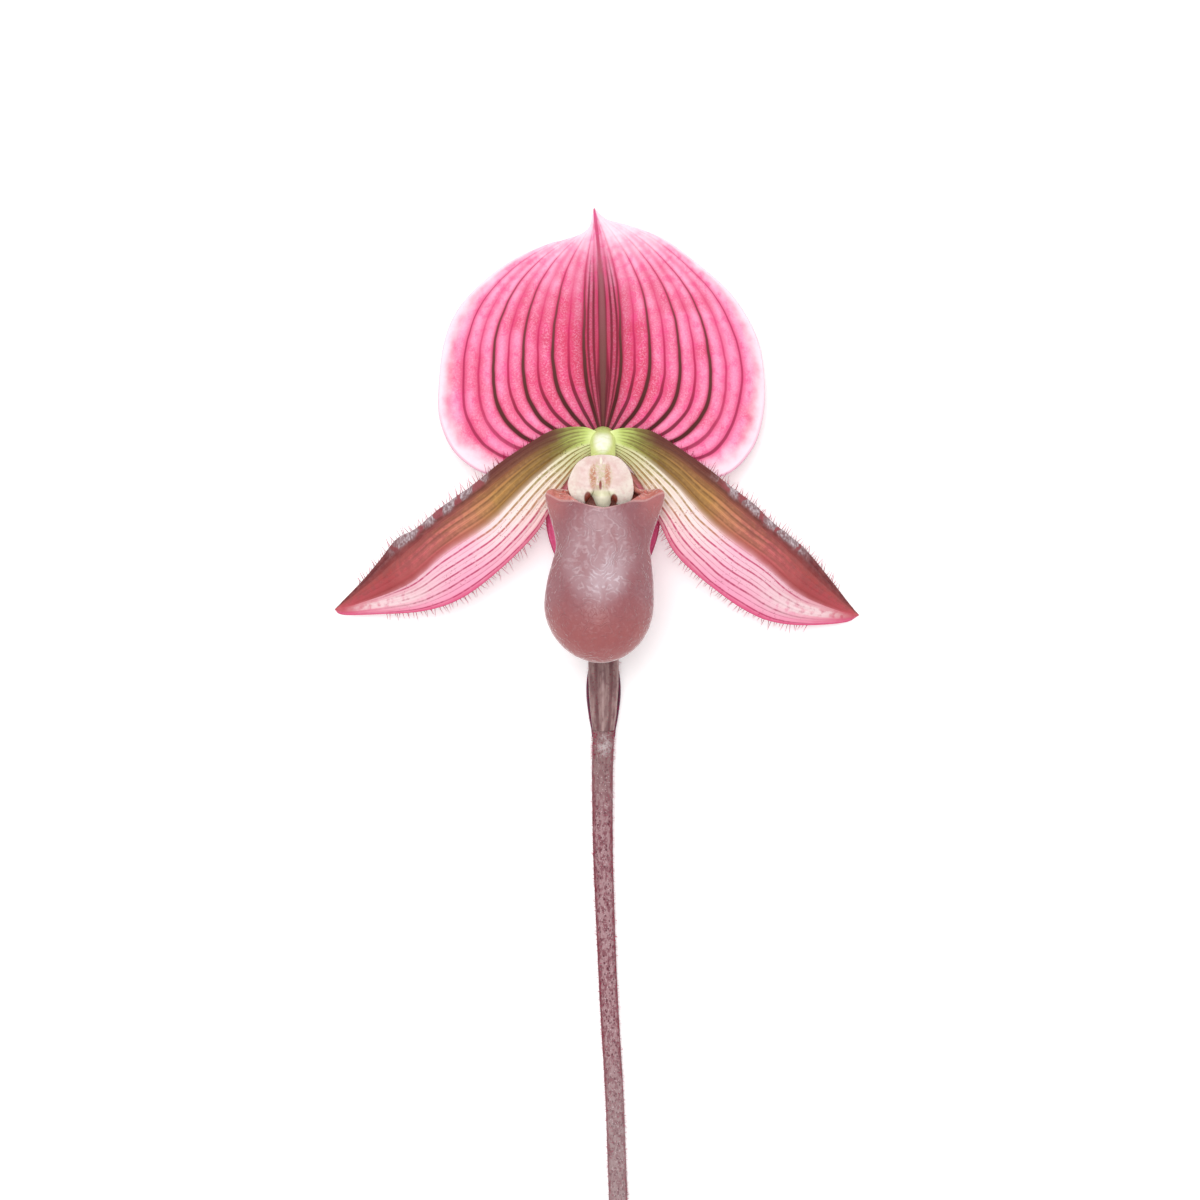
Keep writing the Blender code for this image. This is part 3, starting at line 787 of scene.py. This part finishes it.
# %% Pouch
POUCH_TOE, POUCH_BELLY = -42.3, -31
POUCH_CREST = [
    (-90, -6), (-75, -10.8), (-58, -11.6), (-40, -10.7), (0, -10.6), (30, -13), (60, -16.2), (90, -17.4),
]
POUCH_CURL = [(-90, 0), (-75, 8), (-58, 50), (-40, 98), (0, 112), (30, 62), (60, 14), (90, 0)]
POUCH_HALF_WIDTH = [
    (-42.3, 10.3), (-31, 10.4), (-27, 10.1), (-23, 9.4), (-20.3, 8.9), (-17.5, 9.4), (-14, 10.5),
    (-11, 11.3), (-5, 11.4),
]
POUCH_HALF_DEPTH = [(-42.3, 8.4), (-31, 8.4), (-25, 7.4), (-20, 6.3), (-12, 5.8), (-5, 5.8)]
POUCH_HEIGHT = [(-42.3, 28), (-31, 26.4), (-20, 23.8), (-12, 22.5), (-5, 22.5)]
POUCH_SWAY = [(-42.3, -0.5), (-31, -0.75), (-20, 0), (-10, 0.4), (-5, 0.4)]
CURL_LENGTH, CURL_FOLD, CURL_SHARE = 4.5, 2.2, 0.25
POUCH_WALL, POUCH_WAVES, POUCH_GRAIN = 0.8, 0.12, 0.035


def pouch_surface():
    crest, curl = graph_through(POUCH_CREST), graph_through(POUCH_CURL)
    width, depth = graph_through(POUCH_HALF_WIDTH), graph_through(POUCH_HALF_DEPTH)
    height, sway = graph_through(POUCH_HEIGHT), graph_through(POUCH_SWAY)

    def wall(angle, y):
        toe = 1
        if y < POUCH_BELLY:
            toe = sqrt(max(0, 1 - ((y - POUCH_BELLY) / (POUCH_TOE - POUCH_BELLY)) ** 2))
        return Vector((sway(y) + width(y) * toe * cos(angle), y, height(y) + depth(y) * toe * sin(angle)))

    def at(u, v):
        angle = pi * (u + 0.5)
        front = 90 - degrees(abs((angle + pi / 2) % (2 * pi) - pi))
        top = crest(front)
        if v >= CURL_SHARE:
            s = (v - CURL_SHARE) / (1 - CURL_SHARE)
            point = wall(angle, top + (POUCH_TOE - top) * sin(pi / 2 * s))
            ripple = noise.noise(point * 0.32) * POUCH_WAVES + noise.noise(point * 1.1) * POUCH_GRAIN
            return point + Vector((0, 0, ripple * step(s, 0, 0.2) * (1 - s)))
        length = CURL_LENGTH * (1 - v / CURL_SHARE)
        turn = max(radians(curl(front)), 1e-4)
        bend = CURL_FOLD / turn
        phi = min(length / bend, turn)
        beyond = max(length - CURL_FOLD, 0)
        inward = -Vector((cos(angle) / width(top), 0, sin(angle) / depth(top))).normalized()
        rise = Vector((0, bend * sin(phi) + beyond * cos(turn), 0))
        return wall(angle, top) + rise + inward * (bend * (1 - cos(phi)) + beyond * sin(turn))

    return at


# %% [markdown]
# ## Pouch: the finish
#
# The pouch is waxy and mauve. A paler patch on the top of its front, with a brighter spot in it, is painted
# highlight for the glare of the wax. Fine wrinkles run round the middle of the front like the lines of a
# fingerprint: they are a sine of the distance from one place, pushed about by noise, and inside the painted
# highlight they are painted lighter and the gaps between them darker. A sheen gives the soft waxy lustre of
# the real skin. The lobes that curl in show their red inner face, so the inside of the wall has a second,
# red finish, which the Solidify modifier puts there. Deeper in, that red is darker, as painted shade.

# %% Pouch: outer skin
def pouch_paint():
    paint = Paint("waxy_mauve_pouch", 0.5, Sheen_Weight=0.9, Sheen_Roughness=0.22)
    x, y, z = paint.place()
    _, v = paint.grid()
    cloud = (paint.grain(0.18, 3) - 0.5) * 6
    paint.ground((y + cloud).rise(-37, -28), (150, 80, 80), (138, 84, 90))
    # painted highlight: a paler patch on the top of the front, for the glare of the wax
    painted_glare = paint.spot((-0.8, -21.5), (6.4, 9.5), 0.6) * z.rise(25, 30)
    paint.over(painted_glare * 0.75, (176, 142, 148))
    far = ((x + 0.8) ** 2 + ((y + 18) * 0.5) ** 2) ** 0.5 + paint.grain(0.2, 3, 0.5) * 15
    lines = (far * 4.8).sine().rise(-0.2, 0.95)
    lines = lines * paint.patches(0.34, 0.6, 0.7, 3, 0.5)
    # inside that painted highlight the wrinkles are painted lighter and the gaps between them darker, as
    # painted light and shade; faint pale lines elsewhere
    paint.over((1 - lines) * painted_glare * 0.22, (138, 96, 102))
    paint.over(lines * (painted_glare * 0.24 + 0.03), (212, 190, 196))
    # painted highlight: a brighter spot in the middle of the glare
    painted_shine = paint.spot((0.4, -25.5), (3.2, 5), 0.9) * painted_glare
    paint.over(painted_shine * (lines * 0.45 + 0.35), (208, 190, 198))
    paint.over(paint.patches(0.5, 0.75, 1.4, 3) * 0.14, (196, 142, 146))
    streak = paint.patches(0.45, 0.65, 0.5, 2, 0.5, (1, 0.22, 1))
    paint.over(streak * 0.3, (140, 70, 74))
    # the curled lobes turn their red inner face up beyond a pale rim line
    wide = abs(x)
    corner = wide.rise(5.5, 10) * y.rise(-18, -12)
    paint.over(corner * 0.6, (176, 98, 96))
    beyond = y + 12.9 - wide.rise(0, 6) * 1.3 - wide.rise(7.5, 11.5) * 1.5
    curled = v.fall(0.22, 0.32)
    red = paint.mix(paint.patches(0.35, 0.65, 0.8, 3), (180, 96, 88), (200, 122, 110))
    paint.over(beyond.rise(0, 0.3) * curled, red)
    paint.over(abs(beyond).fall(0.08, 0.3) * curled * 0.5, (212, 162, 158))
    height = lines * 0.5 + paint.grain(1.4, 3) * 0.5
    rough = 0.36 + paint.patches(0.3, 0.7, 1.2) * 0.14
    return paint.done(rough, height, 0.15)


# %% Pouch: lining
def pouch_lining_paint():
    paint = Paint("red_pouch_lining", 0.4, 0.42)
    _, y, _ = paint.place()
    paint.ground(paint.patches(0.35, 0.65, 0.7, 4), (184, 98, 90), (204, 128, 116))
    # painted shade: the red lining darker deeper into the pouch
    paint.over(y.fall(-17, -11), (120, 54, 46))
    spots = paint.cells(1.3).fall(0.14, 0.26)
    paint.over(spots * 0.5, (138, 52, 56))
    return paint.done(None, paint.grain(2, 3), 0.08)


# %% Pouch: the piece, with its faces turned outwards first, so that the wall grows inwards
pouch_bm = sheet(pouch_surface(), 240, 160)
highest = max(pouch_bm.faces, key=lambda face: face.calc_center_median().z)
if highest.normal.z < 0:
    bmesh.ops.reverse_faces(pouch_bm, faces=pouch_bm.faces)
pouch = piece_from(pouch_bm, "waxy_pouch", pouch_paint(), "pouch", "pouch")
thicken(pouch, POUCH_WALL, offset=-1)
pouch.data.materials.append(pouch_lining_paint().material)
pouch.modifiers["Thickness"].material_offset = 1

# %% [markdown]
# ## Column and stigma
#
# The column is the flower's short stout centre. Seen between the petals it is pale yellow green, and a
# white glow painted on its top makes it the lightest place of the flower. A tube along its path is enough,
# a little swollen at its foot, and the stigma is a shallow dome under its tip. The tube is one more sheet,
# rolled up: u runs round it and v along it.

# %% A tube along a path
COLUMN_PATH = [
    (0, 0, 13.3), (0, 0, 14.2), (0, -0.5, 16.8), (0, -2.2, 19.6), (0, -3.8, 21.3), (0, -4.4, 22.3),
]
COLUMN_RADIUS = [(0, 2.6), (0.5, 2.4), (0.8, 2.35), (1, 2.5)]


def directions(at, v):
    """At a share of a path: along it, to its side and up from it."""
    along = (at(min(v + 0.01, 1)) - at(max(v - 0.01, 0))).normalized()
    across = (Vector((1, 0, 0)) - along * along.x).normalized()
    return along, across, along.cross(across)


def tube(path, radius, sides, rings, lowest=None, shape=None):
    """A closed tube, kept above the height lowest."""
    at = curve_through(path)

    def ring(u, v):
        _, across, up = directions(at, v)
        angle = pi * u
        reach = radius(v) * (1 + (shape(angle, v) if shape else 0))
        point = at(v) + (across * sin(angle) + up * cos(angle)) * reach
        if lowest is not None:
            point.z = max(point.z, lowest)
        return point

    bm = sheet(ring, sides, rings)
    bmesh.ops.holes_fill(bm, edges=[e for e in bm.edges if e.is_boundary], sides=0)
    bmesh.ops.recalc_face_normals(bm, faces=bm.faces)
    return bm


def add_dome(bm, centre, radii):
    """Adds an oval lump to a bmesh."""
    placed = Matrix.Translation(in_frame(centre)) @ Matrix.Diagonal((*[r * MM for r in radii], 1))
    bmesh.ops.create_uvsphere(bm, u_segments=32, v_segments=20, radius=1, matrix=placed)


# %% Column: the finish and the piece
def column_paint():
    paint = Paint("green_column_with_painted_glow", 0.3, 0.4)
    x, y, z = paint.place()
    paint.ground(paint.patches(0.35, 0.65, 0.8), (196, 206, 124), (210, 218, 144))
    paint.over(abs(x).rise(1.1, 2.3) * 0.9, (206, 216, 136))
    # painted glow: a near-white spot on the column's top, lighter than its own green
    glow = paint.spot((-0.1, -0.3), (1.5, 2), 0.98)
    glow = glow * (paint.patches(0.3, 0.6, 0.9) * 0.35 + 0.55)
    paint.over(glow, (246, 248, 232))
    paint.over(y.rise(0.4, 1.8) * 0.9, (188, 202, 118))
    paint.over(z.fall(13, 15.5), (176, 190, 102))
    return paint.done(None, paint.grain(2, 3), 0.08)


column_bm = tube(COLUMN_PATH, graph_through(COLUMN_RADIUS), 64, 60)
add_dome(column_bm, (0, -4.6, 19.8), (2.3, 1.8, 1.6))
piece_from(column_bm, "green_column", column_paint(), "column", "column")

# %% [markdown]
# ## Staminode
#
# The shield on the column's front hides the stigma. It is a thin dome with two horns and a small glossy
# beak. Its outline is one closed curve, and the grid runs round it in u and towards its middle in v. Its
# relief is a few soft bumps, each with a height, a middle and two radii.

# %% Staminode
STAMINODE_OUTLINE = [
    (-3.2, -3.6), (-4.8, -4.8), (-6, -7), (-6.4, -8.8), (-5.8, -10.6), (-5, -11.5), (-3.9, -12.1),
    (-3.6, -10.8), (-3.1, -9.9), (-2.2, -10), (-1.5, -10.9), (-1, -12), (-0.5, -12.8), (0.5, -12.8),
    (1, -12), (1.4, -11), (2, -10.4), (2.6, -10.7), (2.8, -11.4), (3, -12.1), (3.9, -12), (5.1, -11.3),
    (5.5, -9.6), (5.2, -7.2), (4.2, -5.1), (2.6, -3.6), (0, -3.2),
]
STAMINODE_BUMPS = [
    (-0.3, (-0.5, -7.6), (1.7, 2.2)), (0.25, (-0.5, -8.9), (0.5, 0.7)), (0.35, (-0.1, -11.6), (1.3, 1.6)),
    (0.35, (-0.4, -4), (0.3, 0.6)),
]
STAMINODE_MIDDLE = Vector((-0.5, -7.4))
STAMINODE_TOP, STAMINODE_DROOP, STAMINODE_GRAIN, STAMINODE_WALL = 24.6, 1.1, 0.05, 1


def staminode_surface():
    outline = curve_through(STAMINODE_OUTLINE + STAMINODE_OUTLINE[:1])

    def at(u, v):
        x, y = STAMINODE_MIDDLE.lerp(outline((u + 1) / 2), 1 - v)
        z = STAMINODE_TOP - STAMINODE_DROOP * (1 - v) ** 4
        for height, (a, b), (rx, ry) in STAMINODE_BUMPS:
            z += height * exp(-((x - a) / rx) ** 2 - ((y - b) / ry) ** 2)
        return (x, y, z + STAMINODE_GRAIN * noise.noise(Vector((x * 1.4, y * 1.4, 1))))

    return at


# %% [markdown]
# ## Staminode: the finish
#
# The colours lie in small ovals: a green-mottled field, two orange-brown smudges, a dark slit and a cream
# beak. The two hollows beside the beak are too narrow to model at this size, so their shade is painted on,
# dark red-brown.

# %% Staminode: the finish and the piece
def staminode_paint():
    paint = Paint("pink_white_shield", 0.5)
    x, y, _ = paint.place()
    paint.ground(paint.patches(0.35, 0.65, 0.5), (214, 184, 176), (226, 204, 198))
    outer = 1 - paint.spot((-0.5, -6.6), (5, 3.6), 0.6)
    paint.over(outer * 0.7, (236, 228, 214))
    shades = paint.patches(0.45, 0.62, 0.9, 4, 0.6)
    paint.over(shades * 0.35, (206, 160, 158))
    field = paint.spot((-0.5, -7), (2.2, 2.8), 0.5)
    mottle = paint.patches(0.4, 0.58, 2.2, 4, 0.6)
    paint.over(field * mottle * 0.7, (186, 178, 126))
    smudge = paint.spot((-1.9, -6.9), (0.6, 2.3), 0.8) + paint.spot((0.9, -6.9), (0.55, 2.2), 0.8)
    paint.over(smudge * paint.patches(0.34, 0.54, 1.8, 4, 0.7) * 0.85, (178, 106, 70))
    slit = paint.spot((-0.5, -8.7), (0.26, 0.95), 0.6)
    paint.over(slit * 0.95, (126, 38, 26))
    beak = (0 - y).rise(8.9, 10.5) * abs(x + 0.3).fall(2.2, 3.2)
    paint.over(beak * 0.9, (232, 227, 200))
    green = paint.spot((-0.4, -10.2), (2, 0.6), 0.7)
    paint.over(green * 0.4, (198, 200, 140))
    # painted shade: the two hollows beside the beak, dark red-brown
    hollows = paint.spot((-2.85, -11.1), (0.72, 1.25)) + paint.spot((2.1, -11.3), (0.66, 1))
    paint.over(hollows, (128, 58, 44))
    tooth = paint.spot((-0.4, -4), (0.22, 0.7), 0.6)
    paint.over(tooth * 0.7, (244, 236, 216))
    return paint.done(0.42 - beak * 0.18, paint.grain(2.4, 4), 0.1)


staminode = piece_from(sheet(staminode_surface(), 260, 60), "horned_staminode", staminode_paint(),
                       "staminode", "staminode")
thicken(staminode, STAMINODE_WALL)

# %% [markdown]
# ## Anthers
#
# Two fertile anthers sit at the column's sides, under the staminode. Each is a small lump of waxy yellow
# pollen with a groove down its middle, so a sphere is drawn out and pinched along one line. They hardly
# show, and a plain mottled yellow is enough for them.

# %% Anthers
ANTHER_SIDE, ANTHER_LONG, GROOVE = 3.3, 1.4, 0.22


def anther_bm(sign):
    bm = bmesh.new()
    bmesh.ops.create_uvsphere(bm, u_segments=48, v_segments=32, radius=1)
    for vert in bm.verts:
        x, y, z = vert.co
        pinch = 1 - GROOVE * exp(-(x / GROOVE) ** 2) * max(z, 0)
        vert.co = in_frame((sign * ANTHER_SIDE + x, ANTHER.y + ANTHER_LONG * y, ANTHER.z + z * pinch))
    bmesh.ops.recalc_face_normals(bm, faces=bm.faces)
    return bm


def anther_paint():
    paint = Paint("waxy_yellow_pollen", 0.5, 0.45)
    paint.ground(paint.patches(0.4, 0.65, 1.6, 4), (214, 176, 84), (236, 208, 122))
    return paint.done(None, paint.grain(3, 3), 0.1)


pollen = anther_paint()
for side, sign in (("left", -1), ("right", 1)):
    piece_from(anther_bm(sign), "pollen_anther_" + side, pollen, "anther", "anther_" + side)

# %% [markdown]
# ## Ovary, bract and stem
#
# The stalk is the flower's longest part. Its upper stretch, the ovary, has six blunt ribs with maroon
# grooves and bends up to the flower's back; the grooves are painted darker, partly as painted shade, and
# the crests lighter as painted highlight. A small sheath, the bract, clasps it from below. Both are drawn
# from the same path. The stem is a plain tube that bows a little, with a flat where it lies on the table.
# It reaches up to the foot of the ovary, so that no light shows between them. Their finishes are streaks
# drawn long, dark grooves, and small round flecks. The stem's flanks are painted crimson, partly its own
# maroon and partly painted shade, and pale specks on its top are partly painted highlight.

# %% Ovary
OVARY_PATH = [
    (0, 0, 13), (0, 0, 12.2), (0, -0.8, 9.6), (0, -3.4, 6.7), (0, -8.5, 4.4), (0, -16, 3.1),
    (0, -25, 2.95), (0.05, -34, 3.7), (0.1, -40, 4.4), (0.1, -47, 4.5), (0.1, -52, 4.15), (0.1, -55, 3.6),
]
OVARY_RADIUS = [(0, 3), (0.3, 3), (0.7, 3), (0.86, 2.95), (0.94, 2.6), (1, 2.15)]
STEM_TOP, STEM_END = -55.03, -169.4
RIBS, RIB_DEPTH, OVARY_GRAIN = 6, 0.06, 0.012


def ovary_ribs(angle, v):
    return RIB_DEPTH * cos(RIBS * angle) + OVARY_GRAIN * noise.noise(Vector((angle * 3, v * 26, 0)))


def ovary_paint():
    paint = Paint("ribbed_maroon_ovary", 0.18)
    u, _ = paint.grid()
    streak = paint.grain(0.9, 4, 0.6, (1, 0.18, 1))
    paint.ground(streak.rise(0.35, 0.65), (118, 88, 89), (158, 131, 128))
    # the grooves: dark maroon, partly the ovary's colour and partly painted shade
    groove = (u * (RIBS / 2) + 0.5).stripe(0.06, 0.14)
    paint.over(groove * 0.6, (92, 48, 54))
    # painted highlight: a pale line along the crest of each rib
    crest = (u * (RIBS / 2) + 0.04).stripe(0.02, 0.07) * paint.patches(0.3, 0.6, 0.5)
    paint.over(crest * 0.4, (196, 168, 166))
    paint.over(paint.cells(1.1).rise(0.35, 0.1) * 0.4, (96, 52, 60))
    return paint.done(streak.rise(0.3, 0.7) * 0.2 + 0.45,
                      streak * 0.5 + paint.grain(3, 3) * 0.5, 0.12)


ovary_bm = tube(OVARY_PATH, graph_through(OVARY_RADIUS), 120, 260, 0, ovary_ribs)
piece_from(ovary_bm, "ribbed_ovary", ovary_paint(), "ovary", "ovary")

# %% Bract
BRACT_BASE, BRACT_TIP, BRACT_WALL, BRACT_GAP, BRACT_FOLD = -56.6, -39, 0.7, 0.42, 0.06
BRACT_WRAP = [(0, 42), (0.2, 50), (0.5, 54), (0.8, 38), (1, 0)]


def bract_surface():
    path, radius, wrap = curve_through(OVARY_PATH), graph_through(OVARY_RADIUS), graph_through(BRACT_WRAP)

    @lru_cache(maxsize=None)
    def share_at(y):
        """The share of the ovary's path that lies at y, found by halving."""
        low, high = 0, 1
        for _ in range(24):
            middle = (low + high) / 2
            low, high = (middle, high) if path(middle).y > y else (low, middle)
        return low

    def at(u, v):
        y = BRACT_BASE + (BRACT_TIP - BRACT_BASE) * v
        share = share_at(max(y, OVARY_PATH[-1][1]))
        centre = path(share)
        reach = radius(share) * (1 + RIB_DEPTH) + BRACT_GAP + BRACT_WALL / 2
        angle = radians(wrap(v)) * u
        z = centre.z - (reach + BRACT_FOLD * cos(9 * angle)) * cos(angle)
        return (centre.x + reach * sin(angle), y, max(z, BRACT_WALL / 2))

    return at


def bract_paint():
    paint = Paint("dark_bract", 0.3, 0.55, Sheen_Weight=0.25)
    u, _ = paint.grid()
    veins = (u * 6).stripe(0.1, 0.2)
    paint.ground(paint.patches(0.35, 0.65, 0.9, 4), (108, 66, 76), (142, 102, 104))
    paint.over(veins * 0.5, (82, 40, 54))
    # painted shade: both margins dark, where they lie under the ovary's sides
    paint.over(abs(u).rise(0.82, 0.97), (92, 34, 62))
    return paint.done(None, veins * 0.4 + paint.grain(2, 3) * 0.6, 0.12)


bract = piece_from(sheet(bract_surface(), 70, 90), "clasping_bract", bract_paint(), "bract", "bract")
thicken(bract, BRACT_WALL, thinnest=0.6)

# %% Stem
STEM_LINE = [
    (0.1, STEM_TOP), (-0.1, -64), (0, -78), (0.3, -87), (1.1, -106), (2.2, -125), (2.75, -140),
    (3.9, STEM_END),
]
STEM_RADIUS = [(STEM_END, 1.85), (-140, 1.78), (-100, 1.76), (-78, 1.9), (-64, 2), (STEM_TOP, 2.05)]
STEM_LIFT = [(STEM_END, 0), (-90, 0), (-75, 0.1), (-64, 0.9), (STEM_TOP, 1.45)]
stem_thickness, stem_lift = graph_through(STEM_RADIUS), graph_through(STEM_LIFT)
stem_path = [(x, y, 0.95 * stem_thickness(y) + stem_lift(y)) for x, y in STEM_LINE]


def stem_radius(v):
    return stem_thickness(STEM_TOP + (STEM_END - STEM_TOP) * v)


def stem_grain(angle, v):
    """Unevenness along the stem and five faint ridges that wind round it."""
    return 0.03 * noise.noise(Vector((angle * 1.5, v * 160, 0))) + 0.012 * cos(5 * angle + 3 * v)


def stem_paint():
    paint = Paint("downy_maroon_stem", 0.15)
    _, y, _ = paint.place()
    u, _ = paint.grid()
    older = y.fall(-134, -106)
    paint.ground(older, (164, 130, 134), (156, 133, 134))
    young = y.rise(-76, -60)
    paint.over(young * 0.8, (132, 106, 105))
    collar = paint.spot((0.2, -58.2), (1.3, 1.8), 0.9) * paint.patches(0.35, 0.55, 1, 4, 0.6)
    paint.over(collar * 0.6, (206, 198, 198))
    # the flanks: crimson, partly the stem's own maroon and partly painted shade of its sides, so the top
    # reads lighter
    flank = (abs(u) + (paint.grain(0.4, 3) - 0.5) * 0.3).rise(0.2, 0.4)
    paint.over(flank * (0.95 - older * 0.4 - young * 0.4), (112, 20, 40))
    mottle = paint.patches(0.46, 0.57, 1.5, 5, 0.7, (1, 0.55, 1))
    paint.over(mottle * (0.68 - older * 0.3 - young * 0.4), (106, 38, 54))
    fleck = paint.cells(1.7, (1, 0.7, 1)).fall(0.16, 0.34)
    paint.over(fleck * (0.75 - older * 0.3 - young * 0.25), (72, 18, 34))
    # pale specks on the top only: partly the down and partly painted highlight
    pale = paint.cells(2.1, (1.2, 0.8, 1)).fall(0.1, 0.26) * (1 - flank)
    paint.over(pale * 0.6, (218, 196, 200))
    height = paint.grain(1.2, 4, 0.6) * 0.7 + fleck * 0.3
    return paint.done(paint.patches(0.3, 0.7, 1.5) * 0.2 + 0.45, height, 0.14)


stem_bm = tube(stem_path, stem_radius, 64, 420, 0, stem_grain)
piece_from(stem_bm, "downy_stem", stem_paint(), "stem", "stem")

# %% [markdown]
# ## Hairs
#
# Stiff dark hairs fringe both margins of each petal, and a short down covers ovary and stem. A particle
# system would be quick, but it isn't kept when the model is exported, so each hair is a bent three-sided
# cone of a few faces. They are placed along the same curves that the blades are made from.

# %% One hair, and many of them
def hair_template():
    bm = bmesh.new()
    bmesh.ops.create_cone(bm, cap_ends=True, segments=3, radius1=1, radius2=0.25, depth=1,
                          matrix=Matrix.Translation((0, 0, 0.5)))
    cut = bm.verts[:] + bm.edges[:] + bm.faces[:]
    bmesh.ops.bisect_plane(bm, geom=cut, plane_co=(0, 0, 0.5), plane_no=(0, 0, 1))
    mesh = bpy.data.meshes.new("one_hair")
    bm.to_mesh(mesh)
    bm.free()
    return mesh


ONE_HAIR = hair_template()


def add_hair(bm, root, direction, length, radius, bend):
    """One hair from root, in millimetres, bending back towards the stalk."""
    first = len(bm.verts)
    bm.from_mesh(ONE_HAIR)
    bm.verts.ensure_lookup_table()
    turn = Vector(direction).to_track_quat("Z", "Y")
    for vert in bm.verts[first:]:
        x, y, z = vert.co
        local = Vector((x * radius, y * radius, z * length))
        point = Vector(root) + turn @ local + Vector((0, -1, 0)) * bend * length * z * z
        vert.co = in_frame(point)


def hair_paint():
    paint = Paint("magenta_hair", 0, 0.8)
    paint.ground(paint.patches(0.3, 0.7, 0.6), (160, 4, 56), (206, 40, 100))
    return paint.done()


# %% Fringe of the petals: for each edge, where it starts, where it ends and how many hairs it has
FRINGES = [(1, 0.1, 0.9, 84), (-1, 0.26, 0.84, 60)]


def petal_fringe(side, rng):
    bm = bmesh.new()
    surface = petal_surface(side)
    for edge, start, end, count in FRINGES:
        for k in range(count):
            v = start + (end - start) * (k + rng.random() * 0.9) / count
            root = Vector(surface(edge * 0.985, v))
            inner = Vector(surface(edge * 0.86, v))
            ahead = Vector(surface(edge * 0.985, v + 0.01)) - root
            out = (root - inner).normalized() + ahead.normalized() * rng.uniform(-0.5, 0.25)
            out += Vector((0, 0, rng.uniform(-0.1, 0.5)))
            length = rng.uniform(0.9, 2.2) * (0.45 + 0.55 * step(v, 0.15, 0.36))
            add_hair(bm, root, out, length, 0.075, rng.uniform(-0.2, 0.2))
    return bm


hair_finish = hair_paint()
rng = Random(11)
for side in ("left", "right"):
    piece_from(petal_fringe(side, rng), "petal_fringe_" + side, hair_finish, "petal")

# %% Down of the stalk: thickest on the stem's first few millimetres
def stalk_down(rng):
    bm = bmesh.new()
    ovary = (curve_through(OVARY_PATH), graph_through(OVARY_RADIUS))
    stem = (curve_through(stem_path), stem_radius)
    stretches = [(ovary, 0.35, 0.998, 420), (stem, 0, 0.998, 1500), (stem, 0, 0.05, 220)]
    for (at, radius), start, end, count in stretches:
        for k in range(count):
            v = start + (end - start) * (k + rng.random()) / count
            angle = rng.uniform(-1.9, 1.9)
            along, across, up = directions(at, v)
            out = across * sin(angle) + up * cos(angle)
            root = at(v) + out * radius(v) * 0.97
            if root.z > 0.6:
                lean = along * rng.uniform(-0.6, 0.6)
                add_hair(bm, root, out + lean, rng.uniform(0.35, 0.7), 0.035, 0)
    return bm


piece_from(stalk_down(rng), "stalk_down", hair_finish, "stem")

# %% [markdown]
# ## Table, light and camera
#
# The photograph is bright and almost without shadows: white behind, and light from all round. A white sky
# and one large soft lamp above give that, with a gentle sheen on the pouch. The table is a plain pale
# plane that glows a little, so that shadows on it stay light. The camera looks straight down from far off
# through a long lens, as flat as the photograph.

# %% Table
table_paint = Paint("pale_table_finish", 0.1, 0.9, Emission_Color=(1, 1, 1, 1), Emission_Strength=0.22)
table_paint.ground(table_paint.grain(0.004), (250, 250, 250), (253, 253, 253))
table_bm = bmesh.new()
bmesh.ops.create_grid(table_bm, x_segments=8, y_segments=8, size=3)
table = object_from(table_bm, "pale_table", table_paint.done())

# %% Light
SKY_STRENGTH, LAMP_SIZE, LAMP_POWER = 0.82, 0.7, 14
LAMP_PLACE, LAMP_TARGET = Vector((-0.15, 0.25, 1.7)), Vector((0, 0.03, 0))
world = bpy.data.worlds.new("white_room")
world.use_nodes = True
sky = world.node_tree.nodes["Background"].inputs
sky["Color"].default_value = (1, 1, 1, 1)
sky["Strength"].default_value = SKY_STRENGTH
bpy.context.scene.world = world
lamp = bpy.data.lights.new("overhead_softbox", "AREA")
lamp.shape = "DISK"
lamp.size = LAMP_SIZE
lamp.energy = LAMP_POWER
softbox = bpy.data.objects.new("overhead_softbox", lamp)
softbox.location = LAMP_PLACE
softbox.rotation_euler = (LAMP_TARGET - LAMP_PLACE).to_track_quat("-Z", "Y").to_euler()
softbox.visible_camera = False
bpy.context.scene.collection.objects.link(softbox)
print("lamp above the table, m:", LAMP_PLACE.z)
bpy.context.scene.view_settings.view_transform = "Standard"

# %% Camera
PICTURE_WIDTH, SENSOR, AWAY = 0.228, 36, 4
MIDDLE = (-0.57, -30.4, 14)
lens = bpy.data.cameras.new("view_from_above")
lens.sensor_width = SENSOR
lens.lens = SENSOR * AWAY / PICTURE_WIDTH
camera = bpy.data.objects.new("view_from_above", lens)
camera.location = in_frame(MIDDLE) + Vector((0, 0, AWAY))
bpy.context.scene.collection.objects.link(camera)
bpy.context.scene.camera = camera
print("lens:", round(lens.lens, 1), "mm")
